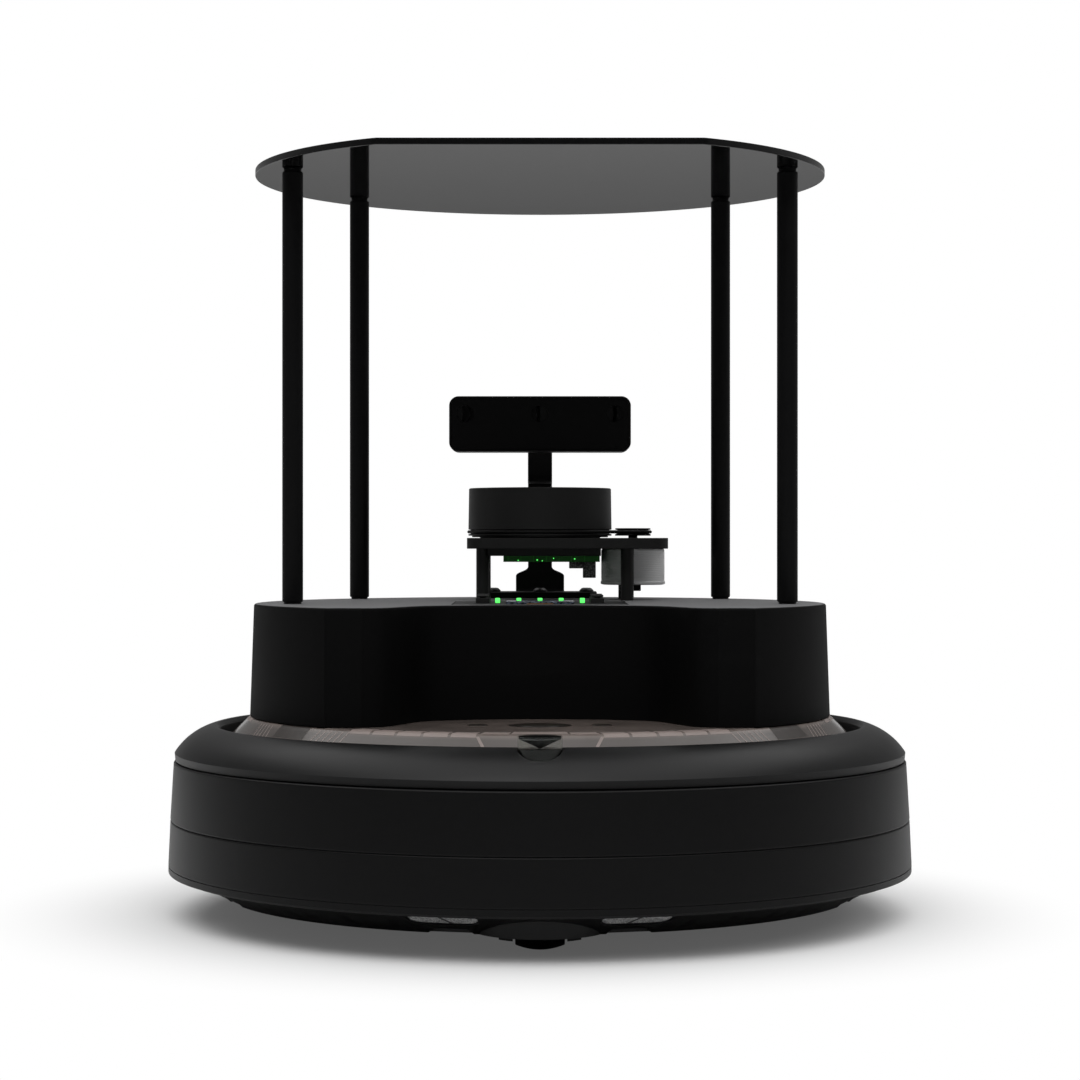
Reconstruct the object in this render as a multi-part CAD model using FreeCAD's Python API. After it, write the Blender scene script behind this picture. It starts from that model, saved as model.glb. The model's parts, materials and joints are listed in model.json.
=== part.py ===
import FreeCAD, Part
import math
import os
from FreeCAD import Vector

# Round mobile robot: a low drive base, a shell on top of it, a laser scanner, a camera on a
# bent bracket, four posts and a flat deck. Millimetres. The floor is z = 0, the drive wheels'
# axle lies over y = 0, and the front points along -Y.

# Base outline, by radius from the middle and height above the floor
WIDEST_RADIUS = 170.8
WIDEST_Z = 24.0
SEAM_DRAFT = 0.9
SEAM_Z = 43.9
RIM_DRAFT = 2.4
RIM_Z = 70.8
FLANGE_STEP = 3.6
FLANGE_Z = 19.6
SLOPE_RUN = 4.2
SLOPE_Z = 18.5
TIER_RUN = 16.0
TIER_Z = 10.2
TIER_CHAMFER = 1.2
UNDERSIDE_Z = 9.0
WALL = 2.5
MIDDLE_CLEARANCE = 1.0

# Bumper round the front half
BUMPER_FORWARD = 3.1
BUMPER_WALL = 2.4
BUMPER_SIDE_GAP = 0.4
BUMPER_FLANGE_GAP = 0.6
BUMPER_TOP_GAP = 0.5
BUMPER_TRAVEL = 3.0
BUMPER_END_Y = -6.0
BUMPER_END_GAP = 0.5
BUMPER_EDGE = 0.4
SEAM_BEVEL = 0.5

# Trim ring on the rim of the base
RING_LIP = 2.2
RING_SHOULDER_RUN = 5.4
RING_SHOULDER_RISE = 9.4
RING_CREST_RUN = 17.3
RING_CREST_RISE = 15.5
RING_CREST_FLAT = 1.6
RING_INNER_RUN = 3.1
RING_FOOT = 5.2
LEDGE_RISE = 9.2
LEDGE_THICKNESS = 2.5
LEDGE_OVERLAP = 3.2

# Faceplate
FACEPLATE_ABOVE_CREST = 4.2
FACEPLATE_EDGE_GAP = 5.8
FACEPLATE_SLOPE_RUN = 8.4
FACEPLATE_SLOPE_DROP = 8.0
FACEPLATE_WALL = 2.5
FACEPLATE_RIB_WIDTH = 1.2
FACEPLATE_RIB_DROP = 1.4
FACEPLATE_RIB_STEP = 24.0

# Infrared receiver at the front of the ring
RECEIVER_INSET = 6.1
RECEIVER_RADIUS = 9.05
RECEIVER_FIT = 0.1
RECEIVER_SEAT_RADIUS = 10.0
RECEIVER_SEAT_RISE = 1.9
RECEIVER_TOP_RISE = 10.2
RECEIVER_BOSS_WALL = 2.0
CONE_RADIUS = 8.5
CONE_RIM = 1.0
CONE_DEPTH = 4.4
CONE_CAP = 0.6

# Base buttons in the faceplate
BUTTON_ROW_Y = -80.0
POWER_RADIUS = 10.4
LIGHT_RING_WIDTH = 3.2
BASE_BUTTON_RADIUS = 4.6
BASE_BUTTON_X = 27.0
BASE_BUTTON_GAP = 0.35
BASE_BUTTON_PROUD = 0.4
BASE_BUTTON_DEPTH = 3.6

# Drive wheels and their swing arms
WHEEL_RADIUS = 36.0
WHEEL_X = 116.5
TYRE_WIDTH = 19.0
TYRE_THICKNESS = 7.0
TREAD_COUNT = 30
TREAD_DEPTH = 1.6
TREAD_GROOVE = 3.0
HUB_WEB = 5.0
HUB_BOSS_RADIUS = 9.0
HUB_HOLES = 6
HUB_HOLE_RADIUS = 3.4
SHAFT_RADIUS = 4.0
SHAFT_LENGTH = 14.0
SHAFT_FIT = 0.05
WHEEL_TO_ARM = 2.0
ARM_WIDTH = 27.0
ARM_WHEEL_END = 22.0
ARM_PIVOT_END = 11.0
PIVOT_Y = 52.0
PIVOT_Z = 46.0
PIVOT_RADIUS = 3.0
PIVOT_FIT = 0.05
DROP_ANGLE = 23.0
WELL_CLEARANCE = 3.0
WELL_SIDE_GAP = 2.0
PIVOT_CLEARANCE = 1.5
MOTOR_RADIUS = 12.0
MOTOR_LENGTH = 8.0

# Front caster
CASTER_INSET = 16.0
CASTER_RADIUS = 15.0
CASTER_WIDTH = 20.7
CASTER_CROWN = 2.1
CASTER_TRAIL = 6.0
CASTER_AXLE_RADIUS = 2.0
CASTER_FIT = 0.05
FORK_RADIUS = 22.0
FORK_CHEEK_GAP = 0.8
FORK_BOTTOM = 7.0
FORK_WAIST = 17.0
FORK_TOP_GAP = 2.2
FORK_CROWN = 3.5
STEM_RADIUS = 4.0
STEM_LENGTH = 20.0
CASTER_WELL_RADIUS = 25.5
CASTER_ROOF_GAP = 0.6
CASTER_BOSS_WALL = 3.0

# Cargo tray in the rear
TRAY_HALF_WIDTH = 80.0
TRAY_BEHIND_ARM = 9.0
TRAY_HEIGHT = 54.5
TRAY_WALL = 2.2
TRAY_GAP = 0.4
TRAY_FLOOR_GAP = 0.3
TRAY_GRIP_HALF_WIDTH = 26.0
TRAY_GRIP_HEIGHT = 11.0
TRAY_GRIP_DEPTH = 9.0
TRAY_SILL_RADIUS_RUN = 18.8

# Ballast on the floor each side of the caster
WEIGHT_GAP = 4.0
WEIGHT_SETBACK = 16.0
WEIGHT_SIZE = 31.0
WEIGHT_HEIGHT = 44.0
WEIGHT_CORNER = 3.0

# Battery under its cover
BATTERY_HALF_WIDTH = 61.0
BATTERY_BEHIND_CASTER = 13.0
BATTERY_LENGTH = 58.0
BATTERY_HEIGHT = 35.0
BATTERY_GAP = 1.5
BATTERY_CORNER = 5.0
COVER_THICKNESS = 2.0
COVER_LEDGE = 7.5
COVER_SHORT_LEDGE = 3.5
COVER_GAP = 0.2
COVER_FRAME = 3.0
COVER_FRAME_HEIGHT = 7.0
CELL_RADIUS = 9.2

# Main board on bosses
BOARD_HALF_WIDTH = 60.0
BOARD_BEHIND_COVER = 4.0
BOARD_BEFORE_TRAY = 12.0
BOARD_Z = 78.0
BOARD_THICKNESS = 1.6
BOARD_BOSS_RADIUS = 3.5
BOARD_BOSS_INSET = 7.0
CHIP_HEIGHT = 3.0

# Underside screws and contacts
SCREW_HEAD_RADIUS = 2.8
SCREW_HEAD_HEIGHT = 1.2
SCREW_HEAD_SINK = 0.3
SCREW_SHANK_RADIUS = 1.4
SCREW_LENGTH = 7.0
SCREW_POCKET_GAP = 0.3
SCREW_BOSS_RADIUS = 4.5
CONTACT_X = 37.0
CONTACT_SETBACK = 19.0
CONTACT_LENGTH = 21.0
CONTACT_WIDTH = 9.0
CONTACT_THICKNESS = 1.2
CONTACT_PROUD = 0.4

# Cliff sensor windows in the slope under the bumper
CLIFF_ANGLES = (-68.0, -14.6, 14.6, 68.0)
CLIFF_LENGTH = 29.5
CLIFF_SHARE = 0.53
CLIFF_EDGE_SHARE = 0.045
CLIFF_DEPTH = 1.0
CLIFF_SINK = 0.6
CLIFF_RIM = 0.7
CLIFF_DIVIDER = 1.2
CLIFF_DIVIDER_TILT = 30.0
NOTCH_Z = 11.5
NOTCH_HALF_WIDTH = 8.0
NOTCH_FLARE = 1.8
NOTCH_REACH = 5.0

# Shell on the faceplate
SHELL_HEIGHT = 51.4
SHELL_RADIUS = 132.3
SHELL_DRAFT = 1.8
SHELL_WALL = 3.0
LOBE_INSET = 37.9
RECESS_Y = -39.0
RECESS_DRAFT = 2.6
SHELL_EDGE = 0.9
WAVE_POINTS = ((77.0, 1.0), (67.2, 0.895), (60.0, 0.62), (53.1, 0.318), (42.7, 0.157), (21.0, 0.035))

# Parts inside the shell
COMPUTER_HALF_WIDTH = 28.0
COMPUTER_LENGTH = 85.0
COMPUTER_INSET = 7.3
COMPUTER_RISE = 6.5
COMPUTER_STANDOFF_RADIUS = 3.0
COMPUTER_STANDOFF_INSET = 4.0
PORT_WIDTH = 15.0
PORT_STEP = 18.5
PORT_DEPTH = 20.0
PORT_HEIGHT = 15.5
PORT_FLARE = 0.8
PORT_MOUTH = 3.6
PORT_WINDOW_GAP = 2.0
PORT_SETBACK = 1.2

# Panel of lights, display and buttons on top of the shell
PANEL_HALF_WIDTH = 40.0
PANEL_BEHIND_RECESS = 3.0
PANEL_LENGTH = 66.0
PANEL_THICKNESS = 1.6
LED_STEP = 9.85
LED_SIZE = 2.2
LED_HEIGHT = 2.2
LED_COUNT = 5
DISPLAY_HALF_WIDTH = 15.5
DISPLAY_FRONT_Y = -27.0
DISPLAY_REAR_Y = -7.0
DISPLAY_HEIGHT = 1.3
FLEX_HALF_WIDTH = 6.1
FLEX_FRONT_Y = -33.5
FLEX_THICKNESS = 0.4
SWITCH_X = 26.6
SWITCH_ROWS = (0.0, 25.0)
SWITCH_SIZE = 6.4
SWITCH_BASE = 1.0
SWITCH_HEIGHT = 2.2
KEY_SIZE = 5.6
KEY_HEIGHT = 0.9
KEY_LIFT = 0.6
KEY_STEM_RADIUS = 1.6
KEY_STEM_LENGTH = 1.4
KEY_FIT = 0.05
KEY_TRAVEL = 0.25

# Posts and deck
POST_RADIUS = 4.75
POST_LENGTH = 198.2
POST_CHAMFER = 0.5
POST_NECK_RADIUS = 4.0
POST_NECK_LENGTH = 0.8
POST_STUD_RADIUS = 2.0
POST_STUD_LENGTH = 9.0
POST_BOSS_RADIUS = 6.0
FRONT_POST_INSET = 17.1
FRONT_POST_ANGLE = -11.21
REAR_POST_INSET = 10.5
REAR_POST_ANGLE = 42.64
DECK_RADIUS = 133.0
DECK_THICKNESS = 3.0
DECK_Y = 12.0
DECK_FRONT_Y = -100.9
POST_SCREW_HEAD = 3.4
POST_SCREW_RADIUS = 1.75
POST_SCREW_SINK = 1.65
POST_SCREW_LENGTH = 12.0
POST_SOCKET_RADIUS = 1.0
POST_SOCKET_DEPTH = 1.0

# Laser scanner, by height above the shell
SCANNER_INSET = 63.8
LEG_HEIGHT = 25.0
LEG_RADIUS = 3.15
LEG_LEFT_X = -27.7
LEG_RIGHT_X = 42.2
LEG_OFFSET_Y = 19.8
SCANNER_BASE_HEIGHT = 5.2
SCANNER_LEFT = 35.15
SCANNER_RIGHT = 61.6
SCANNER_HALF_DEPTH = 35.15
SCANNER_CORNER = 8.0
UNDERBLOCK_LEFT = 25.2
UNDERBLOCK_RIGHT = 29.4
UNDERBLOCK_HALF_DEPTH = 24.0
UNDERBLOCK_HEIGHT = 3.5
SCANNER_BOARD_LEFT = 17.7
SCANNER_BOARD_RIGHT = 28.9
SCANNER_BOARD_HALF_DEPTH = 21.0
SCANNER_BOARD_THICKNESS = 2.9
SPINDLE_RADIUS = 8.0
SPINDLE_HEIGHT = 10.0
SPINDLE_FIT = 0.05
HEAD_GAP = 0.35
HEAD_RADIUS = 35.15
HEAD_DRAFT = 0.3
HEAD_NECK = 33.35
HEAD_NECK_HEIGHT = 1.1
HEAD_FLANGE = 0.8
HEAD_HEIGHT = 24.3
HEAD_EDGE = 0.4
SPIGOT_RADIUS = 29.5
SPIGOT_HEIGHT = 1.2
BELT_RADIUS = 0.8
BELT_GAP = 0.3
BELT_HEAD_RADIUS = 34.9
BELT_PULLEY_RADIUS = 8.56
PULLEY_X = 45.6
PULLEY_RADIUS = 8.8
PULLEY_HEIGHT = 3.7
PULLEY_SHAFT = 2.25
PULLEY_FIT = 0.05
PULLEY_HOLE_GAP = 0.35
PULLEY_SHAFT_LENGTH = 12.0
MOTOR_CAN_RADIUS = 15.8
MOTOR_CAN_HEIGHT = 17.7
MOTOR_SKIRT = 1.6
MOTOR_SKIRT_STEP = 0.3
TERMINAL_SIZE = 6.6
TERMINAL_HEIGHT = 3.4
CONNECTORS = ((14.2, 20.9, 3.2), (20.9, 27.1, 7.8))
CONNECTOR_DEPTH = 8.0
CONNECTOR_OFFSET = 14.5
APERTURE_X = 13.0
APERTURE_Z = 13.0
EMITTER_RADIUS = 4.6
DETECTOR_RADIUS = 7.6
APERTURE_DEPTH = 4.0
APERTURE_FLAT = 3.2

# Camera and its bracket, by height above the shell
CAMERA_WIDTH = 91.0
CAMERA_HEIGHT = 27.8
CAMERA_DEPTH = 17.5
CAMERA_CORNER = 4.75
CAMERA_BOTTOM = 73.4
CAMERA_INSET = 39.0
CAMERA_GLASS = 1.0
CAMERA_RIM = 1.2
LENS_STEP = 37.5
LENS_DROP = 8.8
LENS_RADIUS = 4.0
LENS_DEPTH = 1.6
FIN_COUNT = 13
FIN_GAP = 2.0
FIN_DEPTH = 4.0
FIN_MARGIN = 4.5
CAMERA_PAD = 13.0
SHEET = 3.0
BEND_RADIUS = 1.5
FOOT_HALF_WIDTH = 28.5
FOOT_LENGTH = 31.5
UPRIGHT_INSET = 4.8
PLATE_HALF_WIDTH = 12.35
STRIP_HALF_WIDTH = 6.13
PLATE_TOP = 10.6
PLATE_CURVE = 5.0
JOG_Z = 61.0
BRACKET_TOP = 95.0
FOOT_SCREWS_X = (-23.5, 0.0, 23.5)
FOOT_SCREW_SETBACK = 12.0
FOOT_SCREW_RADIUS = 3.6
FOOT_SCREW_HEIGHT = 2.3
FOOT_SCREW_SHANK = 1.9
FOOT_SCREW_LENGTH = 8.0
FOOT_SOCKET_RADIUS = 1.4

# Places worked out from the sizes above
RIM_RADIUS = WIDEST_RADIUS - RIM_DRAFT
SEAM_RADIUS = WIDEST_RADIUS - SEAM_DRAFT
FLANGE_RADIUS = WIDEST_RADIUS - FLANGE_STEP
SLOPE_RADIUS = FLANGE_RADIUS - SLOPE_RUN
TIER_RADIUS = SLOPE_RADIUS - TIER_RUN
BUMPER_INNER = RIM_RADIUS - BUMPER_WALL
FRONT_RADIUS = BUMPER_INNER - BUMPER_SIDE_GAP
STEP_Y = BUMPER_END_Y + BUMPER_TRAVEL + BUMPER_END_GAP
FLOOR_TOP = UNDERSIDE_Z + WALL
CREST_RADIUS = RIM_RADIUS - RING_CREST_RUN
CREST_Z = RIM_Z + RING_CREST_RISE
LEDGE_Z = RIM_Z + LEDGE_RISE
RING_INNER = CREST_RADIUS - RING_INNER_RUN
FACEPLATE_RADIUS = RING_INNER - FACEPLATE_EDGE_GAP
FACEPLATE_Z = CREST_Z + FACEPLATE_ABOVE_CREST
FACEPLATE_FLAT = FACEPLATE_RADIUS - FACEPLATE_SLOPE_RUN
LEDGE_RADIUS = FACEPLATE_RADIUS - LEDGE_OVERLAP
RECEIVER_Y = -(CREST_RADIUS - RECEIVER_INSET)
RECEIVER_TOP = LEDGE_Z + RECEIVER_TOP_RISE
SHELL_TOP = FACEPLATE_Z + SHELL_HEIGHT
LOBE_Y = -(SHELL_RADIUS - LOBE_INSET)
PANEL_FRONT_Y = RECESS_Y + PANEL_BEHIND_RECESS
PANEL_REAR_Y = PANEL_FRONT_Y + PANEL_LENGTH
COMPUTER_REAR_Y = SHELL_RADIUS - COMPUTER_INSET
COMPUTER_FRONT_Y = COMPUTER_REAR_Y - COMPUTER_LENGTH
WHEEL_INNER_X = WHEEL_X - TYRE_WIDTH / 2
ARM_OUTER_X = WHEEL_INNER_X - WHEEL_TO_ARM
ARM_INNER_X = ARM_OUTER_X - ARM_WIDTH
FORK_Y = -(TIER_RADIUS - CASTER_INSET)
CASTER_AXLE_Y = FORK_Y + CASTER_TRAIL
FORK_TOP = 2 * CASTER_RADIUS + FORK_TOP_GAP + FORK_CROWN
CASTER_ROOF = FORK_TOP + CASTER_ROOF_GAP
BATTERY_FRONT_Y = FORK_Y + CASTER_WELL_RADIUS + WALL + BATTERY_BEHIND_CASTER
BATTERY_REAR_Y = BATTERY_FRONT_Y + BATTERY_LENGTH
COVER_HALF_WIDTH = BATTERY_HALF_WIDTH + BATTERY_GAP + COVER_LEDGE
COVER_FRONT_Y = BATTERY_FRONT_Y - BATTERY_GAP - COVER_SHORT_LEDGE
COVER_REAR_Y = BATTERY_REAR_Y + BATTERY_GAP + COVER_SHORT_LEDGE
BOARD_FRONT_Y = COVER_REAR_Y + COVER_FRAME + BOARD_BEHIND_COVER
TRAY_FRONT_Y = PIVOT_Y + ARM_PIVOT_END + TRAY_BEHIND_ARM
BOARD_REAR_Y = TRAY_FRONT_Y - BOARD_BEFORE_TRAY
TRAY_FLOOR = FLOOR_TOP + TRAY_FLOOR_GAP
TRAY_TOP = TRAY_FLOOR + TRAY_HEIGHT
DECK_UNDERSIDE = SHELL_TOP + POST_LENGTH
DECK_TOP = DECK_UNDERSIDE + DECK_THICKNESS
SCANNER_Y = SHELL_RADIUS - SCANNER_INSET
SCANNER_PLATE_Z = SHELL_TOP + LEG_HEIGHT
SCANNER_TOP_Z = SCANNER_PLATE_Z + SCANNER_BASE_HEIGHT
BELT_Z = SCANNER_TOP_Z + HEAD_NECK_HEIGHT + HEAD_FLANGE + BELT_RADIUS + BELT_GAP
CAMERA_Z = SHELL_TOP + CAMERA_BOTTOM
CAMERA_FRONT_Y = SHELL_RADIUS - CAMERA_INSET
CAMERA_BACK_Y = CAMERA_FRONT_Y + CAMERA_DEPTH
UPRIGHT_Y = SHELL_RADIUS - UPRIGHT_INSET
FOOT_FRONT_Y = UPRIGHT_Y - FOOT_LENGTH
FOOT_SCREW_Y = FOOT_FRONT_Y + FOOT_SCREW_SETBACK
CONNECTOR_Y = SCANNER_Y - CONNECTOR_OFFSET
FAR = 400.0


def disc(radius, low, high, x=0.0, y=0.0):
    """Upright cylinder between two heights."""
    return Part.makeCylinder(radius, high - low, Vector(x, y, low))


def rod(radius, start, end, y, z):
    """Cylinder along X between two places."""
    return Part.makeCylinder(radius, end - start, Vector(start, y, z), Vector(1, 0, 0))


def block(x_range, y_range, z_range):
    """Box between three pairs of limits."""
    size = [limits[1] - limits[0] for limits in (x_range, y_range, z_range)]
    return Part.makeBox(size[0], size[1], size[2], Vector(x_range[0], y_range[0], z_range[0]))


def rounded_block(x_range, y_range, z_range, radius):
    """Box with round upright corners."""
    shape = block(x_range, y_range, z_range)
    upright = [edge for edge in shape.Edges if abs(edge.tangentAt(0).z) > 0.9]
    return shape.makeFillet(radius, upright)


def turned(profile, x=0.0, y=0.0):
    """Solid turned about an upright axis from (radius, height) points."""
    points = [Vector(x + radius, y, height) for radius, height in profile]
    face = Part.Face(Part.makePolygon(points + points[:1]))
    return face.revolve(Vector(x, y, 0), Vector(0, 0, 1), 360)


def turned_along_x(profile, y, z):
    """Solid turned about an axis along X from (place along X, radius) points."""
    points = [Vector(place, y, z + radius) for place, radius in profile]
    face = Part.Face(Part.makePolygon(points + points[:1]))
    return face.revolve(Vector(0, y, z), Vector(1, 0, 0), 360)


def joined(shapes):
    """Pieces fused into one solid, with the lines between flush faces removed."""
    return shapes[0].fuse(shapes[1:]).removeSplitter()


def post_places():
    """Places of the four posts by name."""
    places = {}
    for row, inset, angle in (("front", FRONT_POST_INSET, FRONT_POST_ANGLE),
                              ("rear", REAR_POST_INSET, REAR_POST_ANGLE)):
        reach = SHELL_RADIUS - inset
        x = reach * math.cos(math.radians(angle))
        y = reach * math.sin(math.radians(angle))
        places[row + "_left"] = (-x, y)
        places[row + "_right"] = (x, y)
    return places


def mirrored(shape):
    """The same piece on the other side of the robot."""
    return shape.mirror(Vector(0, 0, 0), Vector(1, 0, 0))


def front_half(y):
    """Space in front of a plane."""
    return block((-FAR, FAR), (-FAR, y), (-FAR, FAR))


def rear_half(y):
    """Space behind a plane."""
    return block((-FAR, FAR), (y, FAR), (-FAR, FAR))


def tangent_blank(start, end, first, second):
    """Two discs across the robot joined by the belt-like hull round them; each is (y, z, radius)."""
    gap = math.hypot(second[0] - first[0], second[1] - first[1])
    heading = math.atan2(second[1] - first[1], second[0] - first[0])
    spread = math.acos((first[2] - second[2]) / gap)
    corners = []
    for turn, circle in ((spread, first), (spread, second), (-spread, second), (-spread, first)):
        angle = heading + turn
        corners.append(Vector(start, circle[0] + circle[2] * math.cos(angle),
                              circle[1] + circle[2] * math.sin(angle)))
    web = Part.Face(Part.makePolygon(corners + corners[:1])).extrude(Vector(end - start, 0, 0))
    ends = [rod(circle[2], start, end, circle[0], circle[1]) for circle in (first, second)]
    return joined([web] + ends)


def dropped_axle():
    """Place (y, z) of the wheel axle when the swing arm hangs at its stop."""
    angle = math.radians(DROP_ANGLE)
    back = -PIVOT_Y
    down = WHEEL_RADIUS - PIVOT_Z
    y = PIVOT_Y + back * math.cos(angle) - down * math.sin(angle)
    z = PIVOT_Z + back * math.sin(angle) + down * math.cos(angle)
    return y, z


def wheel_space(grow):
    """Room that the right wheel sweeps as it drops, made larger by grow."""
    low_y, low_z = dropped_axle()
    radius = WHEEL_RADIUS + WELL_CLEARANCE + grow
    start = WHEEL_INNER_X - WELL_SIDE_GAP - grow
    end = WHEEL_X + TYRE_WIDTH / 2 + WELL_SIDE_GAP + grow
    at_rest = rod(radius, start, end, 0.0, WHEEL_RADIUS)
    hanging = rod(radius, start, end, low_y, low_z)
    below = block((start, end), (-radius, low_y + radius), (0.0, low_z))
    front = block((start, end), (-radius, 0.0), (0.0, WHEEL_RADIUS))
    return joined([at_rest, hanging, below, front])


def arm_space(grow):
    """Room that the right swing arm sweeps as it drops, made larger by grow."""
    start = ARM_INNER_X - WELL_SIDE_GAP - grow
    end = ARM_OUTER_X + WELL_SIDE_GAP + grow
    wheel_end = ARM_WHEEL_END + PIVOT_CLEARANCE + grow
    pivot_end = ARM_PIVOT_END + PIVOT_CLEARANCE + grow
    hull = tangent_blank(start, end, (0.0, WHEEL_RADIUS, wheel_end), (PIVOT_Y, PIVOT_Z, pivot_end))
    below = block((start, end), (-wheel_end, PIVOT_Y + pivot_end), (0.0, WHEEL_RADIUS))
    corner = block((start, end), (0.0, PIVOT_Y + pivot_end), (0.0, PIVOT_Z))
    return joined([hull, below, corner])


def pivot_hole():
    """Bore through both walls beside the right swing arm."""
    start = ARM_INNER_X - WELL_SIDE_GAP - WALL
    end = ARM_OUTER_X + WELL_SIDE_GAP + WALL
    return rod(PIVOT_RADIUS + PIVOT_FIT, start - MIDDLE_CLEARANCE, end + MIDDLE_CLEARANCE,
               PIVOT_Y, PIVOT_Z)


def caster_space(grow):
    """Round well of the caster."""
    return disc(CASTER_WELL_RADIUS + grow, 0.0, CASTER_ROOF + grow, 0.0, FORK_Y)


def tray_space(grow):
    """Bay of the cargo tray, open to the rear."""
    half_width = TRAY_HALF_WIDTH + TRAY_GAP + grow
    front = TRAY_FRONT_Y - TRAY_GAP - grow
    return block((-half_width, half_width), (front, FAR), (FLOOR_TOP, TRAY_TOP + TRAY_GAP + grow))


def base_profile():
    """Side outline of the base from the middle of its underside to its rim."""
    return [
        (0.0, UNDERSIDE_Z),
        (TIER_RADIUS - TIER_CHAMFER, UNDERSIDE_Z),
        (TIER_RADIUS, TIER_Z),
        (SLOPE_RADIUS, SLOPE_Z),
        (FLANGE_RADIUS, SLOPE_Z),
        (FLANGE_RADIUS, FLANGE_Z),
        (WIDEST_RADIUS, WIDEST_Z),
        (SEAM_RADIUS, SEAM_Z),
        (RIM_RADIUS, RIM_Z),
        (0.0, RIM_Z),
    ]


def tub():
    """Floor and side wall of the base, stepped in where the bumper goes round it."""
    body = turned(base_profile())
    inside = FRONT_RADIUS - WALL
    over = RIM_Z + MIDDLE_CLEARANCE
    cavity = turned([(0.0, FLOOR_TOP), (TIER_RADIUS - WALL, FLOOR_TOP), (inside, SLOPE_Z + WALL),
                     (inside, over), (0.0, over)])
    rear_cavity = turned([(inside - WALL, SLOPE_Z + WALL), (inside, SLOPE_Z + WALL),
                          (WIDEST_RADIUS - WALL, WIDEST_Z + WALL),
                          (SEAM_RADIUS - WALL, SEAM_Z), (RIM_RADIUS - WALL, over), (inside - WALL, over)])
    rear_cavity = rear_cavity.common(rear_half(STEP_Y + WALL))
    sleeve = turned([(FRONT_RADIUS, FLANGE_Z), (WIDEST_RADIUS + WALL, FLANGE_Z),
                     (WIDEST_RADIUS + WALL, over), (FRONT_RADIUS, over)])
    sleeve = sleeve.common(front_half(STEP_Y))
    return body.cut([cavity, rear_cavity, sleeve])


def cover_frame():
    """Raised frame round the battery opening."""
    return block((-COVER_HALF_WIDTH - COVER_FRAME, COVER_HALF_WIDTH + COVER_FRAME),
                 (COVER_FRONT_Y - COVER_FRAME, COVER_REAR_Y + COVER_FRAME),
                 (UNDERSIDE_Z, UNDERSIDE_Z + COVER_FRAME_HEIGHT))


def cover_plate(grow):
    """Battery cover's outline, made larger by grow."""
    return rounded_block((-COVER_HALF_WIDTH - grow, COVER_HALF_WIDTH + grow),
                         (COVER_FRONT_Y - grow, COVER_REAR_Y + grow),
                         (UNDERSIDE_Z, UNDERSIDE_Z + COVER_THICKNESS), BATTERY_CORNER)


def battery_opening():
    """Hole in the floor that the battery passes through."""
    return rounded_block((-BATTERY_HALF_WIDTH - BATTERY_GAP, BATTERY_HALF_WIDTH + BATTERY_GAP),
                         (BATTERY_FRONT_Y - BATTERY_GAP, BATTERY_REAR_Y + BATTERY_GAP),
                         (UNDERSIDE_Z, UNDERSIDE_Z + 2 * COVER_FRAME_HEIGHT), BATTERY_CORNER)


def cover_screw_places():
    """Four screws through the battery cover's long ledges."""
    x = BATTERY_HALF_WIDTH + BATTERY_GAP + COVER_LEDGE / 2
    inset = COVER_LEDGE
    return [(side * x, y) for side in (-1, 1)
            for y in (COVER_FRONT_Y + inset, COVER_REAR_Y - inset)]


def floor_screw_places():
    """Screws round the flat of the underside."""
    radius = TIER_RADIUS - 2 * SCREW_BOSS_RADIUS
    angles = (-131.0, -150.0, -30.0, -49.0, 38.0, 142.0)
    return [(radius * math.cos(math.radians(angle)), radius * math.sin(math.radians(angle)))
            for angle in angles]


def screw_space(x, y):
    """Counterbored hole for a screw driven up from below."""
    head_top = UNDERSIDE_Z + SCREW_HEAD_SINK + SCREW_HEAD_HEIGHT
    pocket = disc(SCREW_HEAD_RADIUS + SCREW_POCKET_GAP, UNDERSIDE_Z - WALL, head_top, x, y)
    hole = disc(SCREW_SHANK_RADIUS, head_top, head_top + SCREW_LENGTH, x, y)
    return pocket.fuse(hole)


def screw_up(x, y):
    """Pan-head screw driven up from below, with a cross slot."""
    low = UNDERSIDE_Z + SCREW_HEAD_SINK
    head_top = low + SCREW_HEAD_HEIGHT
    head = disc(SCREW_HEAD_RADIUS, low, head_top, x, y)
    shank = disc(SCREW_SHANK_RADIUS, head_top, head_top + SCREW_LENGTH, x, y)
    slot = SCREW_HEAD_RADIUS / 5
    reach = SCREW_HEAD_RADIUS * 0.7
    cut_z = (low - SCREW_HEAD_SINK, low + SCREW_HEAD_HEIGHT / 2)
    across = block((x - reach, x + reach), (y - slot, y + slot), cut_z)
    along = block((x - slot, x + slot), (y - reach, y + reach), cut_z)
    return head.fuse(shank).cut([across, along])


def board_boss_places():
    """Four bosses under the corners of the main board."""
    x = BOARD_HALF_WIDTH - BOARD_BOSS_INSET
    return [(side * x, y) for side in (-1, 1)
            for y in (BOARD_FRONT_Y + BOARD_BOSS_INSET, BOARD_REAR_Y - BOARD_BOSS_INSET)]


def contact_space(side):
    """Pocket of one charging contact."""
    return rounded_block((side * CONTACT_X - CONTACT_LENGTH / 2, side * CONTACT_X + CONTACT_LENGTH / 2),
                         (FORK_Y + CONTACT_SETBACK - CONTACT_WIDTH / 2,
                          FORK_Y + CONTACT_SETBACK + CONTACT_WIDTH / 2),
                         (UNDERSIDE_Z - CONTACT_PROUD, UNDERSIDE_Z - CONTACT_PROUD + CONTACT_THICKNESS),
                         CONTACT_WIDTH / 3)


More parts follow.
